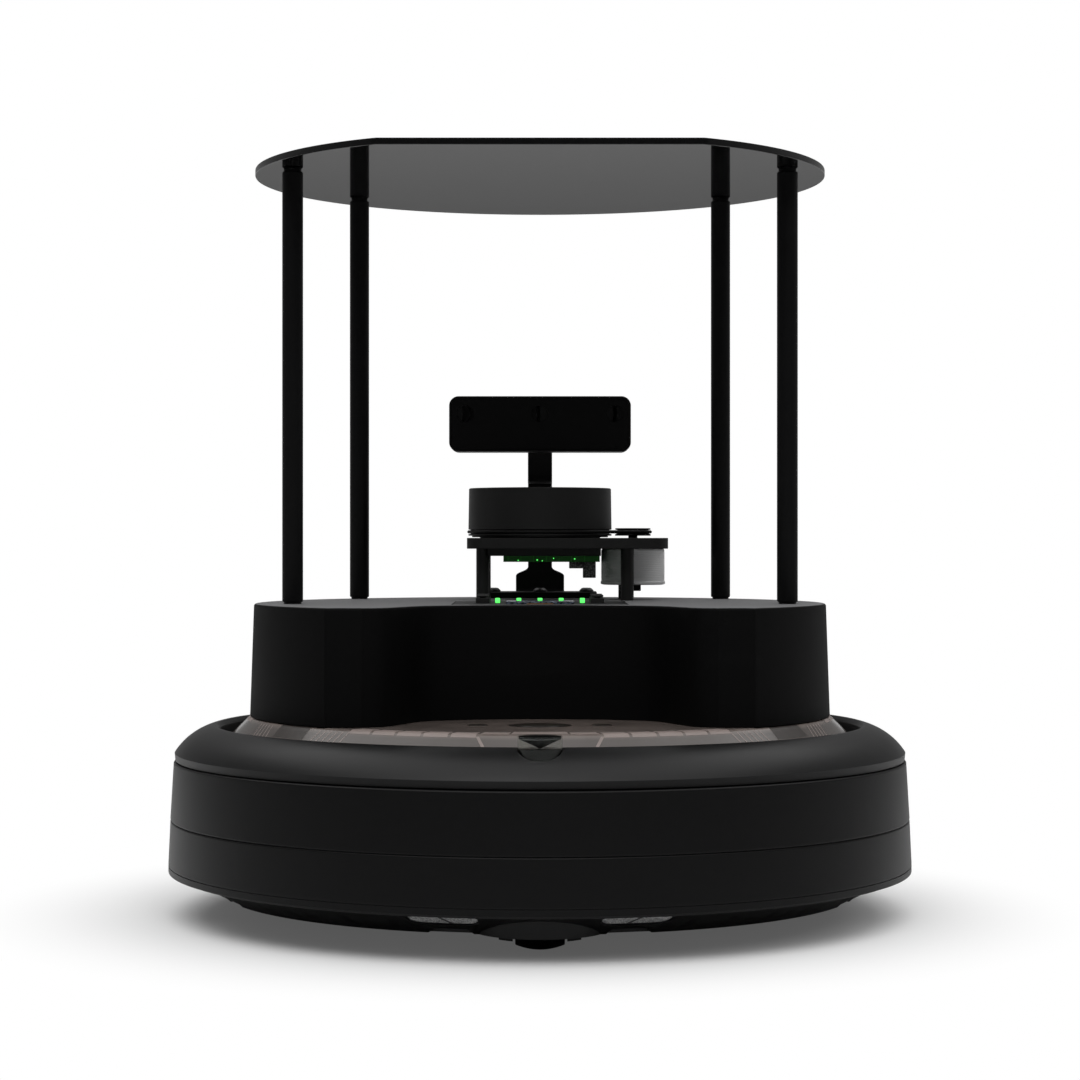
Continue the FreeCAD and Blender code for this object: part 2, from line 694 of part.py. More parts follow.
def slope_layer(outer, inner):
    """Layer of the slope under the bumper, between two depths under its face."""
    run = SLOPE_RADIUS - TIER_RADIUS
    rise = SLOPE_Z - TIER_Z
    length = math.hypot(run, rise)
    corners = [(TIER_RADIUS, TIER_Z, outer), (SLOPE_RADIUS, SLOPE_Z, outer), (SLOPE_RADIUS, SLOPE_Z, inner),
               (TIER_RADIUS, TIER_Z, inner)]
    return turned([(radius - depth * rise / length, height + depth * run / length)
                   for radius, height, depth in corners])


def cliff_pad(angle, grow, outer, inner, split):
    """Rounded pad in the slope at an angle from the front, split by a slanted divider or whole."""
    run = SLOPE_RADIUS - TIER_RADIUS
    rise = SLOPE_Z - TIER_Z
    length = math.hypot(run, rise)
    tilt = math.degrees(math.atan2(rise, run))
    height = length * CLIFF_SHARE
    middle = 1.0 - CLIFF_EDGE_SHARE - CLIFF_SHARE / 2
    pad = rounded_block((-CLIFF_LENGTH / 2 - grow, CLIFF_LENGTH / 2 + grow), (-height / 2 - grow, height / 2 + grow),
                        (-length, length), height / 2.2 + grow)
    if split:
        divider = block((-CLIFF_DIVIDER / 2, CLIFF_DIVIDER / 2), (-length, length), (-2 * length, 2 * length))
        divider.rotate(Vector(0, 0, 0), Vector(0, 0, 1), math.copysign(CLIFF_DIVIDER_TILT, angle))
        pad = pad.cut(divider)
    pad.rotate(Vector(0, 0, 0), Vector(1, 0, 0), -tilt)
    pad.translate(Vector(0, -(TIER_RADIUS + run * middle), TIER_Z + rise * middle))
    pad = pad.common(slope_layer(outer, inner))
    pad.rotate(Vector(0, 0, 0), Vector(0, 0, 1), angle)
    return pad


def cliff_window(angle):
    """Sensor window pair, sunk in the slope."""
    return cliff_pad(angle, 0.0, CLIFF_SINK, CLIFF_SINK + CLIFF_DEPTH, True)


def cliff_pocket(angle):
    """Wider shallow pocket over a sensor window."""
    return cliff_pad(angle, CLIFF_RIM, -WALL, CLIFF_SINK, False)


def cliff_notch(angle, grow):
    """Flared notch in the edge of the underside below a sensor window."""
    high = NOTCH_Z + grow
    half = NOTCH_HALF_WIDTH + grow
    foot = half + NOTCH_FLARE
    corners = [Vector(-foot, 0, 0.0), Vector(-foot, 0, UNDERSIDE_Z), Vector(-half, 0, high),
               Vector(half, 0, high), Vector(foot, 0, UNDERSIDE_Z), Vector(foot, 0, 0.0)]
    edges = [Part.makeLine(corners[k - 1], corners[k]) for k in range(len(corners))]
    notch = Part.Face(Part.Wire(edges)).extrude(Vector(0, -NOTCH_REACH - 2 * grow - WALL, 0))
    notch.translate(Vector(0, -(TIER_RADIUS - NOTCH_REACH) + grow, 0))
    notch.rotate(Vector(0, 0, 0), Vector(0, 0, 1), angle)
    return notch


def chassis():
    """Base housing: tub, wells, bays and bosses."""
    hull = turned(base_profile())
    wells = [wheel_space(WALL), arm_space(WALL), mirrored(wheel_space(WALL)), mirrored(arm_space(WALL)),
             caster_space(WALL)]
    above_floor = block((-FAR, FAR), (-FAR, FAR), (UNDERSIDE_Z, FAR))
    walls = [well.common(above_floor) for well in wells]
    walls.append(tray_space(WALL).common(hull))
    walls.append(cover_frame())
    walls.append(disc(STEM_RADIUS + CASTER_FIT + CASTER_BOSS_WALL, CASTER_ROOF,
                      FORK_TOP + STEM_LENGTH, 0.0, FORK_Y))
    walls += [disc(BOARD_BOSS_RADIUS, UNDERSIDE_Z, BOARD_Z, x, y) for x, y in board_boss_places()]
    walls += [disc(SCREW_BOSS_RADIUS, UNDERSIDE_Z, UNDERSIDE_Z + SCREW_LENGTH + WALL, x, y)
              for x, y in floor_screw_places()]
    walls += [cliff_notch(angle, WALL).common(hull) for angle in CLIFF_ANGLES]
    spaces = [wheel_space(0.0), arm_space(0.0), pivot_hole()]
    spaces += [mirrored(space) for space in spaces]
    spaces.append(caster_space(0.0))
    spaces.append(disc(STEM_RADIUS + CASTER_FIT, 0.0, FAR, 0.0, FORK_Y))
    spaces.append(tray_space(0.0))
    spaces.append(tray_space(0.0).fuse(tray_space(0.0).translated(Vector(0, 0, -WALL)))
                  .cut(disc(WIDEST_RADIUS - TRAY_SILL_RADIUS_RUN, 0.0, RIM_Z)))
    spaces += [cover_plate(COVER_GAP), battery_opening()]
    spaces += [screw_space(x, y) for x, y in floor_screw_places() + cover_screw_places()]
    spaces += [contact_space(side) for side in (-1, 1)]
    spaces += [cliff_window(angle) for angle in CLIFF_ANGLES]
    spaces += [cliff_pocket(angle) for angle in CLIFF_ANGLES]
    spaces += [cliff_notch(angle, 0.0) for angle in CLIFF_ANGLES]
    return tub().fuse(walls).cut(spaces).removeSplitter()


def bumper_skirt():
    """Lower half of the bumper, upright at the bottom and drafted up to the seam."""
    low = FLANGE_Z + BUMPER_FLANGE_GAP
    profile = [
        (BUMPER_INNER, low),
        (WIDEST_RADIUS - BUMPER_EDGE, low),
        (WIDEST_RADIUS, low + BUMPER_EDGE),
        (WIDEST_RADIUS, WIDEST_Z),
        (SEAM_RADIUS, SEAM_Z - SEAM_BEVEL),
        (SEAM_RADIUS - SEAM_BEVEL, SEAM_Z),
        (SEAM_RADIUS - BUMPER_WALL, SEAM_Z),
        (WIDEST_RADIUS - BUMPER_WALL, WIDEST_Z + BUMPER_WALL),
        (BUMPER_INNER, low + BUMPER_WALL),
    ]
    return turned(profile, 0.0, -BUMPER_FORWARD).common(front_half(BUMPER_END_Y))


def bumper_window():
    """Upper half of the bumper, a dark band that infrared light passes."""
    high = RIM_Z - BUMPER_TOP_GAP
    profile = [
        (SEAM_RADIUS - BUMPER_WALL, SEAM_Z),
        (SEAM_RADIUS - SEAM_BEVEL, SEAM_Z),
        (SEAM_RADIUS, SEAM_Z + SEAM_BEVEL),
        (RIM_RADIUS, high - SEAM_BEVEL),
        (RIM_RADIUS - SEAM_BEVEL, high),
        (BUMPER_INNER, high),
    ]
    return turned(profile, 0.0, -BUMPER_FORWARD).common(front_half(BUMPER_END_Y))


def ring_section():
    """Section of the trim ring: foot, lip, round shoulder, crest, inner wall and ledge."""
    def place(radius, height):
        return Vector(radius, 0, height)
    lip = place(RIM_RADIUS, RIM_Z + RING_LIP)
    shoulder = place(RIM_RADIUS - RING_SHOULDER_RUN, RIM_Z + RING_SHOULDER_RISE)
    crest = place(CREST_RADIUS, CREST_Z)
    under = LEDGE_Z - LEDGE_THICKNESS
    corners = [
        crest,
        place(CREST_RADIUS - RING_CREST_FLAT, CREST_Z),
        place(RING_INNER, CREST_Z - RING_CREST_FLAT),
        place(RING_INNER, LEDGE_Z),
        place(LEDGE_RADIUS, LEDGE_Z),
        place(LEDGE_RADIUS, under),
        place(RING_INNER, under),
        place(RIM_RADIUS - RING_FOOT, RIM_Z + RING_LIP),
        place(RIM_RADIUS - RING_FOOT, RIM_Z),
        place(RIM_RADIUS, RIM_Z),
        lip,
    ]
    edges = [Part.Arc(lip, shoulder, crest).toShape()]
    edges += [Part.makeLine(corners[i], corners[i + 1]) for i in range(len(corners) - 1)]
    return Part.Face(Part.Wire(edges))


def trim_ring():
    """Ring on the rim of the base, with the receiver's round seat at the front."""
    ring = ring_section().revolve(Vector(0, 0, 0), Vector(0, 0, 1), 360)
    seat_z = LEDGE_Z + RECEIVER_SEAT_RISE
    boss = disc(RECEIVER_SEAT_RADIUS + RECEIVER_BOSS_WALL, LEDGE_Z, seat_z, 0.0, RECEIVER_Y)
    inside = disc(FACEPLATE_RADIUS + COVER_GAP, 0.0, FAR)
    outside = turned([(0.0, 0.0), (RIM_RADIUS - RING_FOOT, 0.0), (RIM_RADIUS - RING_FOOT, FAR), (0.0, FAR)])
    ring = ring.fuse(boss.cut(inside).common(outside))
    seat = disc(RECEIVER_SEAT_RADIUS, seat_z, FAR, 0.0, RECEIVER_Y)
    bore = disc(RECEIVER_RADIUS + RECEIVER_FIT, LEDGE_Z, FAR, 0.0, RECEIVER_Y)
    return ring.cut([seat, bore]).removeSplitter()


def receiver_cone_profile(lift):
    """Funnel in the top of the receiver lens, as (radius, height) points."""
    top = RECEIVER_TOP - CONE_CAP
    return [(0.0, top - CONE_RIM - CONE_DEPTH), (CONE_RADIUS, top - CONE_RIM),
            (CONE_RADIUS, top + lift), (0.0, top + lift)]


def ir_receiver_lens():
    """Clear round lens with a funnel-shaped hollow in its top."""
    lens = disc(RECEIVER_RADIUS, LEDGE_Z, RECEIVER_TOP, 0.0, RECEIVER_Y)
    return lens.cut(turned(receiver_cone_profile(WALL), 0.0, RECEIVER_Y))


def ir_receiver_cone():
    """Dark cone that fills the funnel of the lens."""
    return turned(receiver_cone_profile(0.0), 0.0, RECEIVER_Y)


def faceplate_ribs():
    """Ribs moulded under the faceplate: straight ones across it and one round it."""
    low = FACEPLATE_Z - FACEPLATE_WALL - FACEPLATE_RIB_DROP
    high = FACEPLATE_Z - FACEPLATE_WALL
    reach = FACEPLATE_FLAT - 2 * FACEPLATE_WALL
    hoop = disc(reach, low, high).cut(disc(reach - FACEPLATE_RIB_WIDTH, low, high))
    inner = disc(reach, low, high)
    count = int(reach // FACEPLATE_RIB_STEP)
    half = FACEPLATE_RIB_WIDTH / 2
    bars = [block((k * FACEPLATE_RIB_STEP - half, k * FACEPLATE_RIB_STEP + half), (-reach, reach), (low, high))
            for k in range(-count, count + 1)]
    return [hoop] + [bar.common(inner) for bar in bars]


def faceplate():
    """Translucent cover of the base, with holes for the buttons and the receiver."""
    rim_z = FACEPLATE_Z - FACEPLATE_SLOPE_DROP
    inner = FACEPLATE_RADIUS - FACEPLATE_WALL
    plate = turned([
        (0.0, FACEPLATE_Z),
        (FACEPLATE_FLAT, FACEPLATE_Z),
        (FACEPLATE_RADIUS, rim_z),
        (FACEPLATE_RADIUS, LEDGE_Z),
        (inner, LEDGE_Z),
        (inner, rim_z - FACEPLATE_WALL / 2),
        (FACEPLATE_FLAT - FACEPLATE_WALL / 2, FACEPLATE_Z - FACEPLATE_WALL),
        (0.0, FACEPLATE_Z - FACEPLATE_WALL),
    ])
    plate = plate.fuse(faceplate_ribs())
    holes = [disc(POWER_RADIUS + BASE_BUTTON_GAP + LIGHT_RING_WIDTH, 0.0, FAR, 0.0, BUTTON_ROW_Y),
             disc(RECEIVER_SEAT_RADIUS + RECEIVER_FIT, 0.0, FAR, 0.0, RECEIVER_Y)]
    holes += [disc(BASE_BUTTON_RADIUS + BASE_BUTTON_GAP, 0.0, FAR, side * BASE_BUTTON_X, BUTTON_ROW_Y)
              for side in (-1, 1)]
    return plate.cut(holes).removeSplitter()


def light_ring():
    """Light guide round the power button."""
    inner = POWER_RADIUS + BASE_BUTTON_GAP
    low = FACEPLATE_Z - FACEPLATE_WALL
    ring = disc(inner + LIGHT_RING_WIDTH, low, FACEPLATE_Z, 0.0, BUTTON_ROW_Y)
    return ring.cut(disc(inner, low, FACEPLATE_Z, 0.0, BUTTON_ROW_Y))


def base_button(radius, x):
    """Round button cap with a dished top."""
    top = FACEPLATE_Z + BASE_BUTTON_PROUD
    cap = disc(radius, top - BASE_BUTTON_DEPTH, top, x, BUTTON_ROW_Y)
    rim = [edge for edge in cap.Edges if edge.Closed and edge.CenterOfMass.z > top - MIDDLE_CLEARANCE]
    return cap.makeFillet(BASE_BUTTON_PROUD, rim)


def battery():
    """Battery pack with the humps of its row of cells on top."""
    low = UNDERSIDE_Z + COVER_THICKNESS
    high = low + BATTERY_HEIGHT
    pack = rounded_block((-BATTERY_HALF_WIDTH, BATTERY_HALF_WIDTH), (BATTERY_FRONT_Y, BATTERY_REAR_Y),
                         (low, high - CELL_RADIUS / 2), BATTERY_CORNER)
    count = int((BATTERY_REAR_Y - BATTERY_FRONT_Y) // (2 * CELL_RADIUS))
    middle = (BATTERY_REAR_Y + BATTERY_FRONT_Y) / 2
    cells = [rod(CELL_RADIUS, -BATTERY_HALF_WIDTH + BATTERY_CORNER, BATTERY_HALF_WIDTH - BATTERY_CORNER,
                 middle + (k - (count - 1) / 2) * 2 * CELL_RADIUS, high - CELL_RADIUS)
             for k in range(count)]
    return joined([pack] + cells)


def battery_cover():
    """Flush cover under the battery, held by four screws."""
    return cover_plate(0.0).cut([screw_space(x, y) for x, y in cover_screw_places()])


def main_board():
    """Main circuit board with its largest parts."""
    top = BOARD_Z + BOARD_THICKNESS
    plate = block((-BOARD_HALF_WIDTH, BOARD_HALF_WIDTH), (BOARD_FRONT_Y, BOARD_REAR_Y), (BOARD_Z, top))
    middle = (BOARD_FRONT_Y + BOARD_REAR_Y) / 2
    chips = [block((x - CHIP_HEIGHT * 3, x + CHIP_HEIGHT * 3), (y - CHIP_HEIGHT * 2, y + CHIP_HEIGHT * 2),
                   (top, top + CHIP_HEIGHT))
             for x in (-BOARD_HALF_WIDTH / 2, 0.0, BOARD_HALF_WIDTH / 2)
             for y in (middle - BOARD_BOSS_INSET * 2, middle + BOARD_BOSS_INSET * 2)]
    return joined([plate] + chips)


def charge_contacts():
    """Two charging contacts, one each side of the caster."""
    return Part.Compound([contact_space(side) for side in (-1, 1)])


def cliff_windows():
    """All the cliff sensor windows."""
    return Part.Compound([solid for angle in CLIFF_ANGLES for solid in cliff_window(angle).Solids])


def base_screws():
    """Screws of the battery cover and of the underside."""
    return Part.Compound([screw_up(x, y) for x, y in floor_screw_places() + cover_screw_places()])


def right_tyre():
    """Rubber tyre with cross grooves."""
    inner = WHEEL_RADIUS - TYRE_THICKNESS
    edge = TREAD_DEPTH
    ends = (WHEEL_INNER_X, WHEEL_INNER_X + TYRE_WIDTH)
    tyre = turned_along_x([(ends[0], inner), (ends[0], WHEEL_RADIUS - edge), (ends[0] + edge, WHEEL_RADIUS),
                           (ends[1] - edge, WHEEL_RADIUS), (ends[1], WHEEL_RADIUS - edge), (ends[1], inner)],
                          0.0, WHEEL_RADIUS)
    groove = block((ends[0] - edge, ends[1] + edge), (-TREAD_GROOVE / 2, TREAD_GROOVE / 2),
                   (2 * WHEEL_RADIUS - TREAD_DEPTH, 2 * WHEEL_RADIUS + edge))
    grooves = []
    for k in range(TREAD_COUNT):
        turn = groove.copy()
        turn.rotate(Vector(0, 0, WHEEL_RADIUS), Vector(1, 0, 0), (k + 0.5) * 360.0 / TREAD_COUNT)
        grooves.append(turn)
    return tyre.cut(grooves)


def right_hub():
    """Wheel hub with a holed web and the drive shaft."""
    rim_radius = WHEEL_RADIUS - TYRE_THICKNESS
    start = WHEEL_INNER_X
    end = WHEEL_INNER_X + TYRE_WIDTH
    middle = (start + end) / 2
    rim = rod(rim_radius, start, end, 0.0, WHEEL_RADIUS)
    hollow_outer = rod(rim_radius - WALL, middle + HUB_WEB / 2, end, 0.0, WHEEL_RADIUS)
    hollow_inner = rod(rim_radius - WALL, start, middle - HUB_WEB / 2, 0.0, WHEEL_RADIUS)
    holes = []
    for k in range(HUB_HOLES):
        angle = math.radians(k * 360.0 / HUB_HOLES)
        reach = (rim_radius - WALL + HUB_BOSS_RADIUS) / 2
        holes.append(rod(HUB_HOLE_RADIUS, start, end, reach * math.cos(angle),
                         WHEEL_RADIUS + reach * math.sin(angle)))
    boss = rod(HUB_BOSS_RADIUS, start, end - WALL, 0.0, WHEEL_RADIUS)
    shaft = rod(SHAFT_RADIUS, start - SHAFT_LENGTH, start, 0.0, WHEEL_RADIUS)
    return rim.cut([hollow_outer, hollow_inner] + holes).fuse([boss, shaft]).removeSplitter()


def right_gearbox():
    """Swing arm with the gear case, its motor and the pivot pin."""
    case = tangent_blank(ARM_INNER_X, ARM_OUTER_X, (0.0, WHEEL_RADIUS, ARM_WHEEL_END),
                         (PIVOT_Y, PIVOT_Z, ARM_PIVOT_END))
    step = tangent_blank(ARM_OUTER_X - WALL, ARM_OUTER_X, (0.0, WHEEL_RADIUS, ARM_WHEEL_END - WALL),
                         (PIVOT_Y, PIVOT_Z, ARM_PIVOT_END - WALL))
    seam = tangent_blank(ARM_OUTER_X - WALL, ARM_OUTER_X, (0.0, WHEEL_RADIUS, ARM_WHEEL_END),
                         (PIVOT_Y, PIVOT_Z, ARM_PIVOT_END)).cut(step)
    pin_start = ARM_INNER_X - WELL_SIDE_GAP - WALL
    pin_end = ARM_OUTER_X + WELL_SIDE_GAP + WALL
    pin = rod(PIVOT_RADIUS, pin_start, pin_end, PIVOT_Y, PIVOT_Z)
    bore = rod(SHAFT_RADIUS + SHAFT_FIT, WHEEL_INNER_X - SHAFT_LENGTH - MIDDLE_CLEARANCE, ARM_OUTER_X,
               0.0, WHEEL_RADIUS)
    relief = rod(MOTOR_RADIUS, ARM_INNER_X, ARM_INNER_X + MOTOR_LENGTH, 0.0, WHEEL_RADIUS)
    motor = rod(MOTOR_RADIUS - WALL, ARM_INNER_X, ARM_INNER_X + MOTOR_LENGTH, 0.0, WHEEL_RADIUS)
    return case.cut([seam, relief.cut(motor), bore]).fuse(pin)


def caster_wheel():
    """Barrel-shaped caster wheel on a plain bore."""
    half = CASTER_WIDTH / 2
    side = CASTER_RADIUS - CASTER_CROWN
    ends = [Vector(-half, CASTER_AXLE_Y, CASTER_RADIUS + side), Vector(half, CASTER_AXLE_Y, CASTER_RADIUS + side)]
    crown = Vector(0, CASTER_AXLE_Y, 2 * CASTER_RADIUS + CASTER_CROWN)
    axis = [Vector(half, CASTER_AXLE_Y, CASTER_RADIUS), Vector(-half, CASTER_AXLE_Y, CASTER_RADIUS)]
    curve = Part.BezierCurve()
    curve.setPoles([ends[0], crown, ends[1]])
    edges = [curve.toShape(), Part.makeLine(ends[1], axis[0]),
             Part.makeLine(axis[0], axis[1]), Part.makeLine(axis[1], ends[0])]
    wheel = Part.Face(Part.Wire(edges)).revolve(axis[0], Vector(1, 0, 0), 360)
    return wheel.cut(rod(CASTER_AXLE_RADIUS + CASTER_FIT, -half, half, CASTER_AXLE_Y, CASTER_RADIUS))


def fork_slot_half():
    """Half the width between the fork's cheeks."""
    return CASTER_WIDTH / 2 + FORK_CHEEK_GAP


def fork_cheek_half():
    """Half the width over the fork's cheeks."""
    return FORK_WAIST


def caster_fork():
    """Swivelling fork: round crown, two cheeks and the stem."""
    crown = disc(FORK_RADIUS, FORK_TOP - FORK_CROWN, FORK_TOP, 0.0, FORK_Y)
    body = disc(FORK_RADIUS, FORK_BOTTOM, FORK_TOP - FORK_CROWN, 0.0, FORK_Y)
    cheeks = body.common(block((-fork_cheek_half(), fork_cheek_half()), (-FAR, FAR), (0.0, FAR)))
    slot = block((-fork_slot_half(), fork_slot_half()), (-FAR, FAR), (0.0, FORK_TOP - FORK_CROWN))
    stem = disc(STEM_RADIUS, FORK_TOP, FORK_TOP + STEM_LENGTH, 0.0, FORK_Y)
    hole = rod(CASTER_AXLE_RADIUS, -FORK_RADIUS, FORK_RADIUS, CASTER_AXLE_Y, CASTER_RADIUS)
    return crown.fuse([cheeks.cut(slot), stem]).cut(hole).removeSplitter()


def caster_axle():
    """Pin through both cheeks and the caster wheel."""
    return rod(CASTER_AXLE_RADIUS, -fork_cheek_half(), fork_cheek_half(), CASTER_AXLE_Y, CASTER_RADIUS)


def cargo_tray():
    """Open tray whose rear wall follows the round side of the base."""
    outline = turned(base_profile())
    shape = outline.common(block((-TRAY_HALF_WIDTH, TRAY_HALF_WIDTH), (TRAY_FRONT_Y, FAR), (TRAY_FLOOR, TRAY_TOP)))
    rear = turned([(0.0, 0.0), (RIM_RADIUS - 2 * TRAY_WALL, 0.0), (RIM_RADIUS - 2 * TRAY_WALL, FAR), (0.0, FAR)])
    floor_z = TRAY_FLOOR + TRAY_WALL
    hollow = rear.common(block((-TRAY_HALF_WIDTH + TRAY_WALL, TRAY_HALF_WIDTH - TRAY_WALL),
                               (TRAY_FRONT_Y + TRAY_WALL, FAR), (floor_z, FAR)))
    sill = turned([(TIER_RADIUS + TRAY_WALL, 0.0), (FAR, 0.0), (FAR, floor_z + SLOPE_Z - TIER_Z),
                   (SLOPE_RADIUS, floor_z + SLOPE_Z - TIER_Z), (TIER_RADIUS + TRAY_WALL, floor_z)])
    hollow = hollow.cut(sill)
    grip_z = (TRAY_TOP - TRAY_GRIP_HEIGHT - TRAY_WALL, TRAY_TOP - TRAY_WALL)
    grip = rounded_block((-TRAY_GRIP_HALF_WIDTH, TRAY_GRIP_HALF_WIDTH),
                         (RIM_RADIUS - TRAY_GRIP_DEPTH, FAR), (0.0, TRAY_GRIP_HEIGHT), TRAY_WALL)
    grip.translate(Vector(0, 0, grip_z[0]))
    backing = block((-TRAY_GRIP_HALF_WIDTH - TRAY_WALL, TRAY_GRIP_HALF_WIDTH + TRAY_WALL),
                    (RIM_RADIUS - TRAY_GRIP_DEPTH - TRAY_WALL, RIM_RADIUS - TRAY_WALL),
                    (grip_z[0] - TRAY_WALL, TRAY_TOP))
    return shape.cut(hollow).fuse(backing.common(outline)).cut(grip).removeSplitter()


def front_space(wall, low, high, lean):
    """Space in front of the shell's wavy front, leaning back by lean per unit of height."""
    drop = (SHELL_TOP - low) * lean
    recess_y = RECESS_Y - drop + wall
    lobe_y = LOBE_Y - drop + wall
    right = [Vector(x + wall, recess_y + share * (lobe_y - recess_y), low) for x, share in WAVE_POINTS]
    left = [Vector(-point.x, point.y, low) for point in reversed(right)]
    wave = Part.BSplineCurve()
    wave.interpolate(Points=right + [Vector(0, recess_y, low)] + left, InitialTangent=Vector(-1, 0, 0),
                     FinalTangent=Vector(-1, 0, 0))
    corners = [left[-1], Vector(-FAR, lobe_y, low), Vector(-FAR, -FAR, low), Vector(FAR, -FAR, low),
               Vector(FAR, lobe_y, low), right[0]]
    edges = [wave.toShape()] + [Part.makeLine(first, last) for first, last in zip(corners, corners[1:])]
    return Part.Face(Part.Wire(edges)).extrude(Vector(0, (high - low) * lean, high - low))


def shell_block(wall, low, high, edge):
    """Solid inside the shell's outline, wall deep under its surface, with a narrow top chamfer."""
    lean = SHELL_DRAFT / SHELL_HEIGHT

    def radius(height):
        return SHELL_RADIUS + (SHELL_TOP - height) * lean - wall
    body = turned([(0.0, low), (radius(low), low), (radius(high - edge), high - edge),
                   (radius(high) - edge, high), (0.0, high)])
    front = front_space(wall, low - edge, high + edge, RECESS_DRAFT / SHELL_HEIGHT)
    return body.cut(front)


def shell():
    """Hollow shell, open below, with post bosses, a panel recess and a port window."""
    outer = shell_block(0.0, FACEPLATE_Z, SHELL_TOP, SHELL_EDGE)
    inner = shell_block(SHELL_WALL, FACEPLATE_Z, SHELL_TOP - SHELL_WALL, SHELL_EDGE)
    bosses = [disc(POST_BOSS_RADIUS, FACEPLATE_Z, SHELL_TOP - SHELL_WALL, x, y) for x, y in post_places().values()]
    studs = [disc(POST_STUD_RADIUS, SHELL_TOP - POST_STUD_LENGTH, SHELL_TOP, x, y) for x, y in post_places().values()]
    panel = panel_plate(COVER_GAP)
    screws = [disc(FOOT_SCREW_SHANK, SHELL_TOP - SHELL_WALL, SHELL_TOP, x, FOOT_SCREW_Y) for x in FOOT_SCREWS_X]
    gap = PORT_WINDOW_GAP
    reach = PORT_STEP + PORT_WIDTH / 2 + gap
    low = FACEPLATE_Z + COMPUTER_RISE - gap
    window = block((-reach, reach), (COMPUTER_REAR_Y - PORT_DEPTH, FAR),
                   (low, FACEPLATE_Z + COMPUTER_RISE + BOARD_THICKNESS + PORT_HEIGHT + gap))
    return outer.cut(inner).fuse(bosses).cut([panel, window] + studs + screws).removeSplitter()


def weight_blocks():
    """Two steel ballast blocks that keep the caster on the floor."""
    half = WEIGHT_SIZE / 2
    x = CASTER_WELL_RADIUS + WALL + WEIGHT_GAP + half
    y = FORK_Y + WEIGHT_SETBACK
    return Part.Compound([rounded_block((side * x - half, side * x + half), (y - half, y + half),
                                        (FLOOR_TOP, FLOOR_TOP + WEIGHT_HEIGHT), WEIGHT_CORNER)
                          for side in (-1, 1)])


def computer_board():
    """Computer board on four standoffs, with its chips."""
    low = FACEPLATE_Z + COMPUTER_RISE
    top = low + BOARD_THICKNESS
    plate = block((-COMPUTER_HALF_WIDTH, COMPUTER_HALF_WIDTH), (COMPUTER_FRONT_Y, COMPUTER_REAR_Y), (low, top))
    inset = COMPUTER_STANDOFF_INSET
    legs = [disc(COMPUTER_STANDOFF_RADIUS, FACEPLATE_Z, low, side * (COMPUTER_HALF_WIDTH - inset), y)
            for side in (-1, 1) for y in (COMPUTER_FRONT_Y + inset, COMPUTER_REAR_Y - inset)]
    middle = (COMPUTER_FRONT_Y + COMPUTER_REAR_Y) / 2
    chip = block((-CHIP_HEIGHT * 2.5, CHIP_HEIGHT * 2.5), (middle - CHIP_HEIGHT * 5, middle), (top, top + CHIP_HEIGHT))
    return joined([plate, chip] + legs)


def computer_ports():
    """Row of sockets at the rear edge of the computer board."""
    low = FACEPLATE_Z + COMPUTER_RISE + BOARD_THICKNESS
    ports = []
    for k in (-1, 0, 1):
        x = k * PORT_STEP
        reach = math.sqrt(SHELL_RADIUS ** 2 - (abs(x) + PORT_WIDTH / 2) ** 2) - PORT_SETBACK
        rear = min(reach, COMPUTER_REAR_Y + PORT_DEPTH)
        can = block((x - PORT_WIDTH / 2, x + PORT_WIDTH / 2), (COMPUTER_REAR_Y - PORT_DEPTH, rear),
                    (low, low + PORT_HEIGHT))
        mouths = [block((x - PORT_WIDTH / 2 + PORT_FLARE, x + PORT_WIDTH / 2 - PORT_FLARE),
                        (rear - PORT_MOUTH, rear),
                        (low + PORT_FLARE + row * PORT_HEIGHT / 2, low + (row + 1) * PORT_HEIGHT / 2 - PORT_FLARE))
                  for row in (0, 1)]
        ports.append(can.cut(mouths))
    return Part.Compound(ports)


def panel_plate(grow):
    """Outline of the panel board in the top of the shell, made larger by grow."""
    return block((-PANEL_HALF_WIDTH - grow, PANEL_HALF_WIDTH + grow),
                 (PANEL_FRONT_Y - grow, PANEL_REAR_Y + grow), (SHELL_TOP - PANEL_THICKNESS, SHELL_TOP))


def ui_board():
    """Panel board, flush in the top of the shell."""
    return panel_plate(0.0)


def ui_display():
    """Small display on the panel."""
    return block((-DISPLAY_HALF_WIDTH, DISPLAY_HALF_WIDTH), (DISPLAY_FRONT_Y, DISPLAY_REAR_Y),
                 (SHELL_TOP, SHELL_TOP + DISPLAY_HEIGHT))


def ui_flex():
    """Flat ribbon in front of the display."""
    return block((-FLEX_HALF_WIDTH, FLEX_HALF_WIDTH), (FLEX_FRONT_Y, DISPLAY_FRONT_Y),
                 (SHELL_TOP, SHELL_TOP + FLEX_THICKNESS))


def ui_leds():
    """Row of lights behind the display."""
    half = LED_SIZE / 2
    places = [(k - (LED_COUNT - 1) / 2) * LED_STEP for k in range(LED_COUNT)]
    return Part.Compound([block((x - half, x + half), (-half, half), (SHELL_TOP, SHELL_TOP + LED_HEIGHT))
                          for x in places])


def switch_places():
    """Four key switches, two on each side of the panel."""
    return [(side * SWITCH_X, y) for side in (-1, 1) for y in SWITCH_ROWS]


def ui_switches():
    """Square bodies of the key switches, each with a round well for its key."""
    half = SWITCH_SIZE / 2
    top = SHELL_TOP + SWITCH_HEIGHT
    bodies = []
    for x, y in switch_places():
        body = block((x - half, x + half), (y - half, y + half), (SHELL_TOP, top))
        well = disc(KEY_STEM_RADIUS + KEY_FIT, top - KEY_STEM_LENGTH - KEY_LIFT, top, x, y)
        bodies.append(body.cut(well))
    return Part.Compound(bodies)


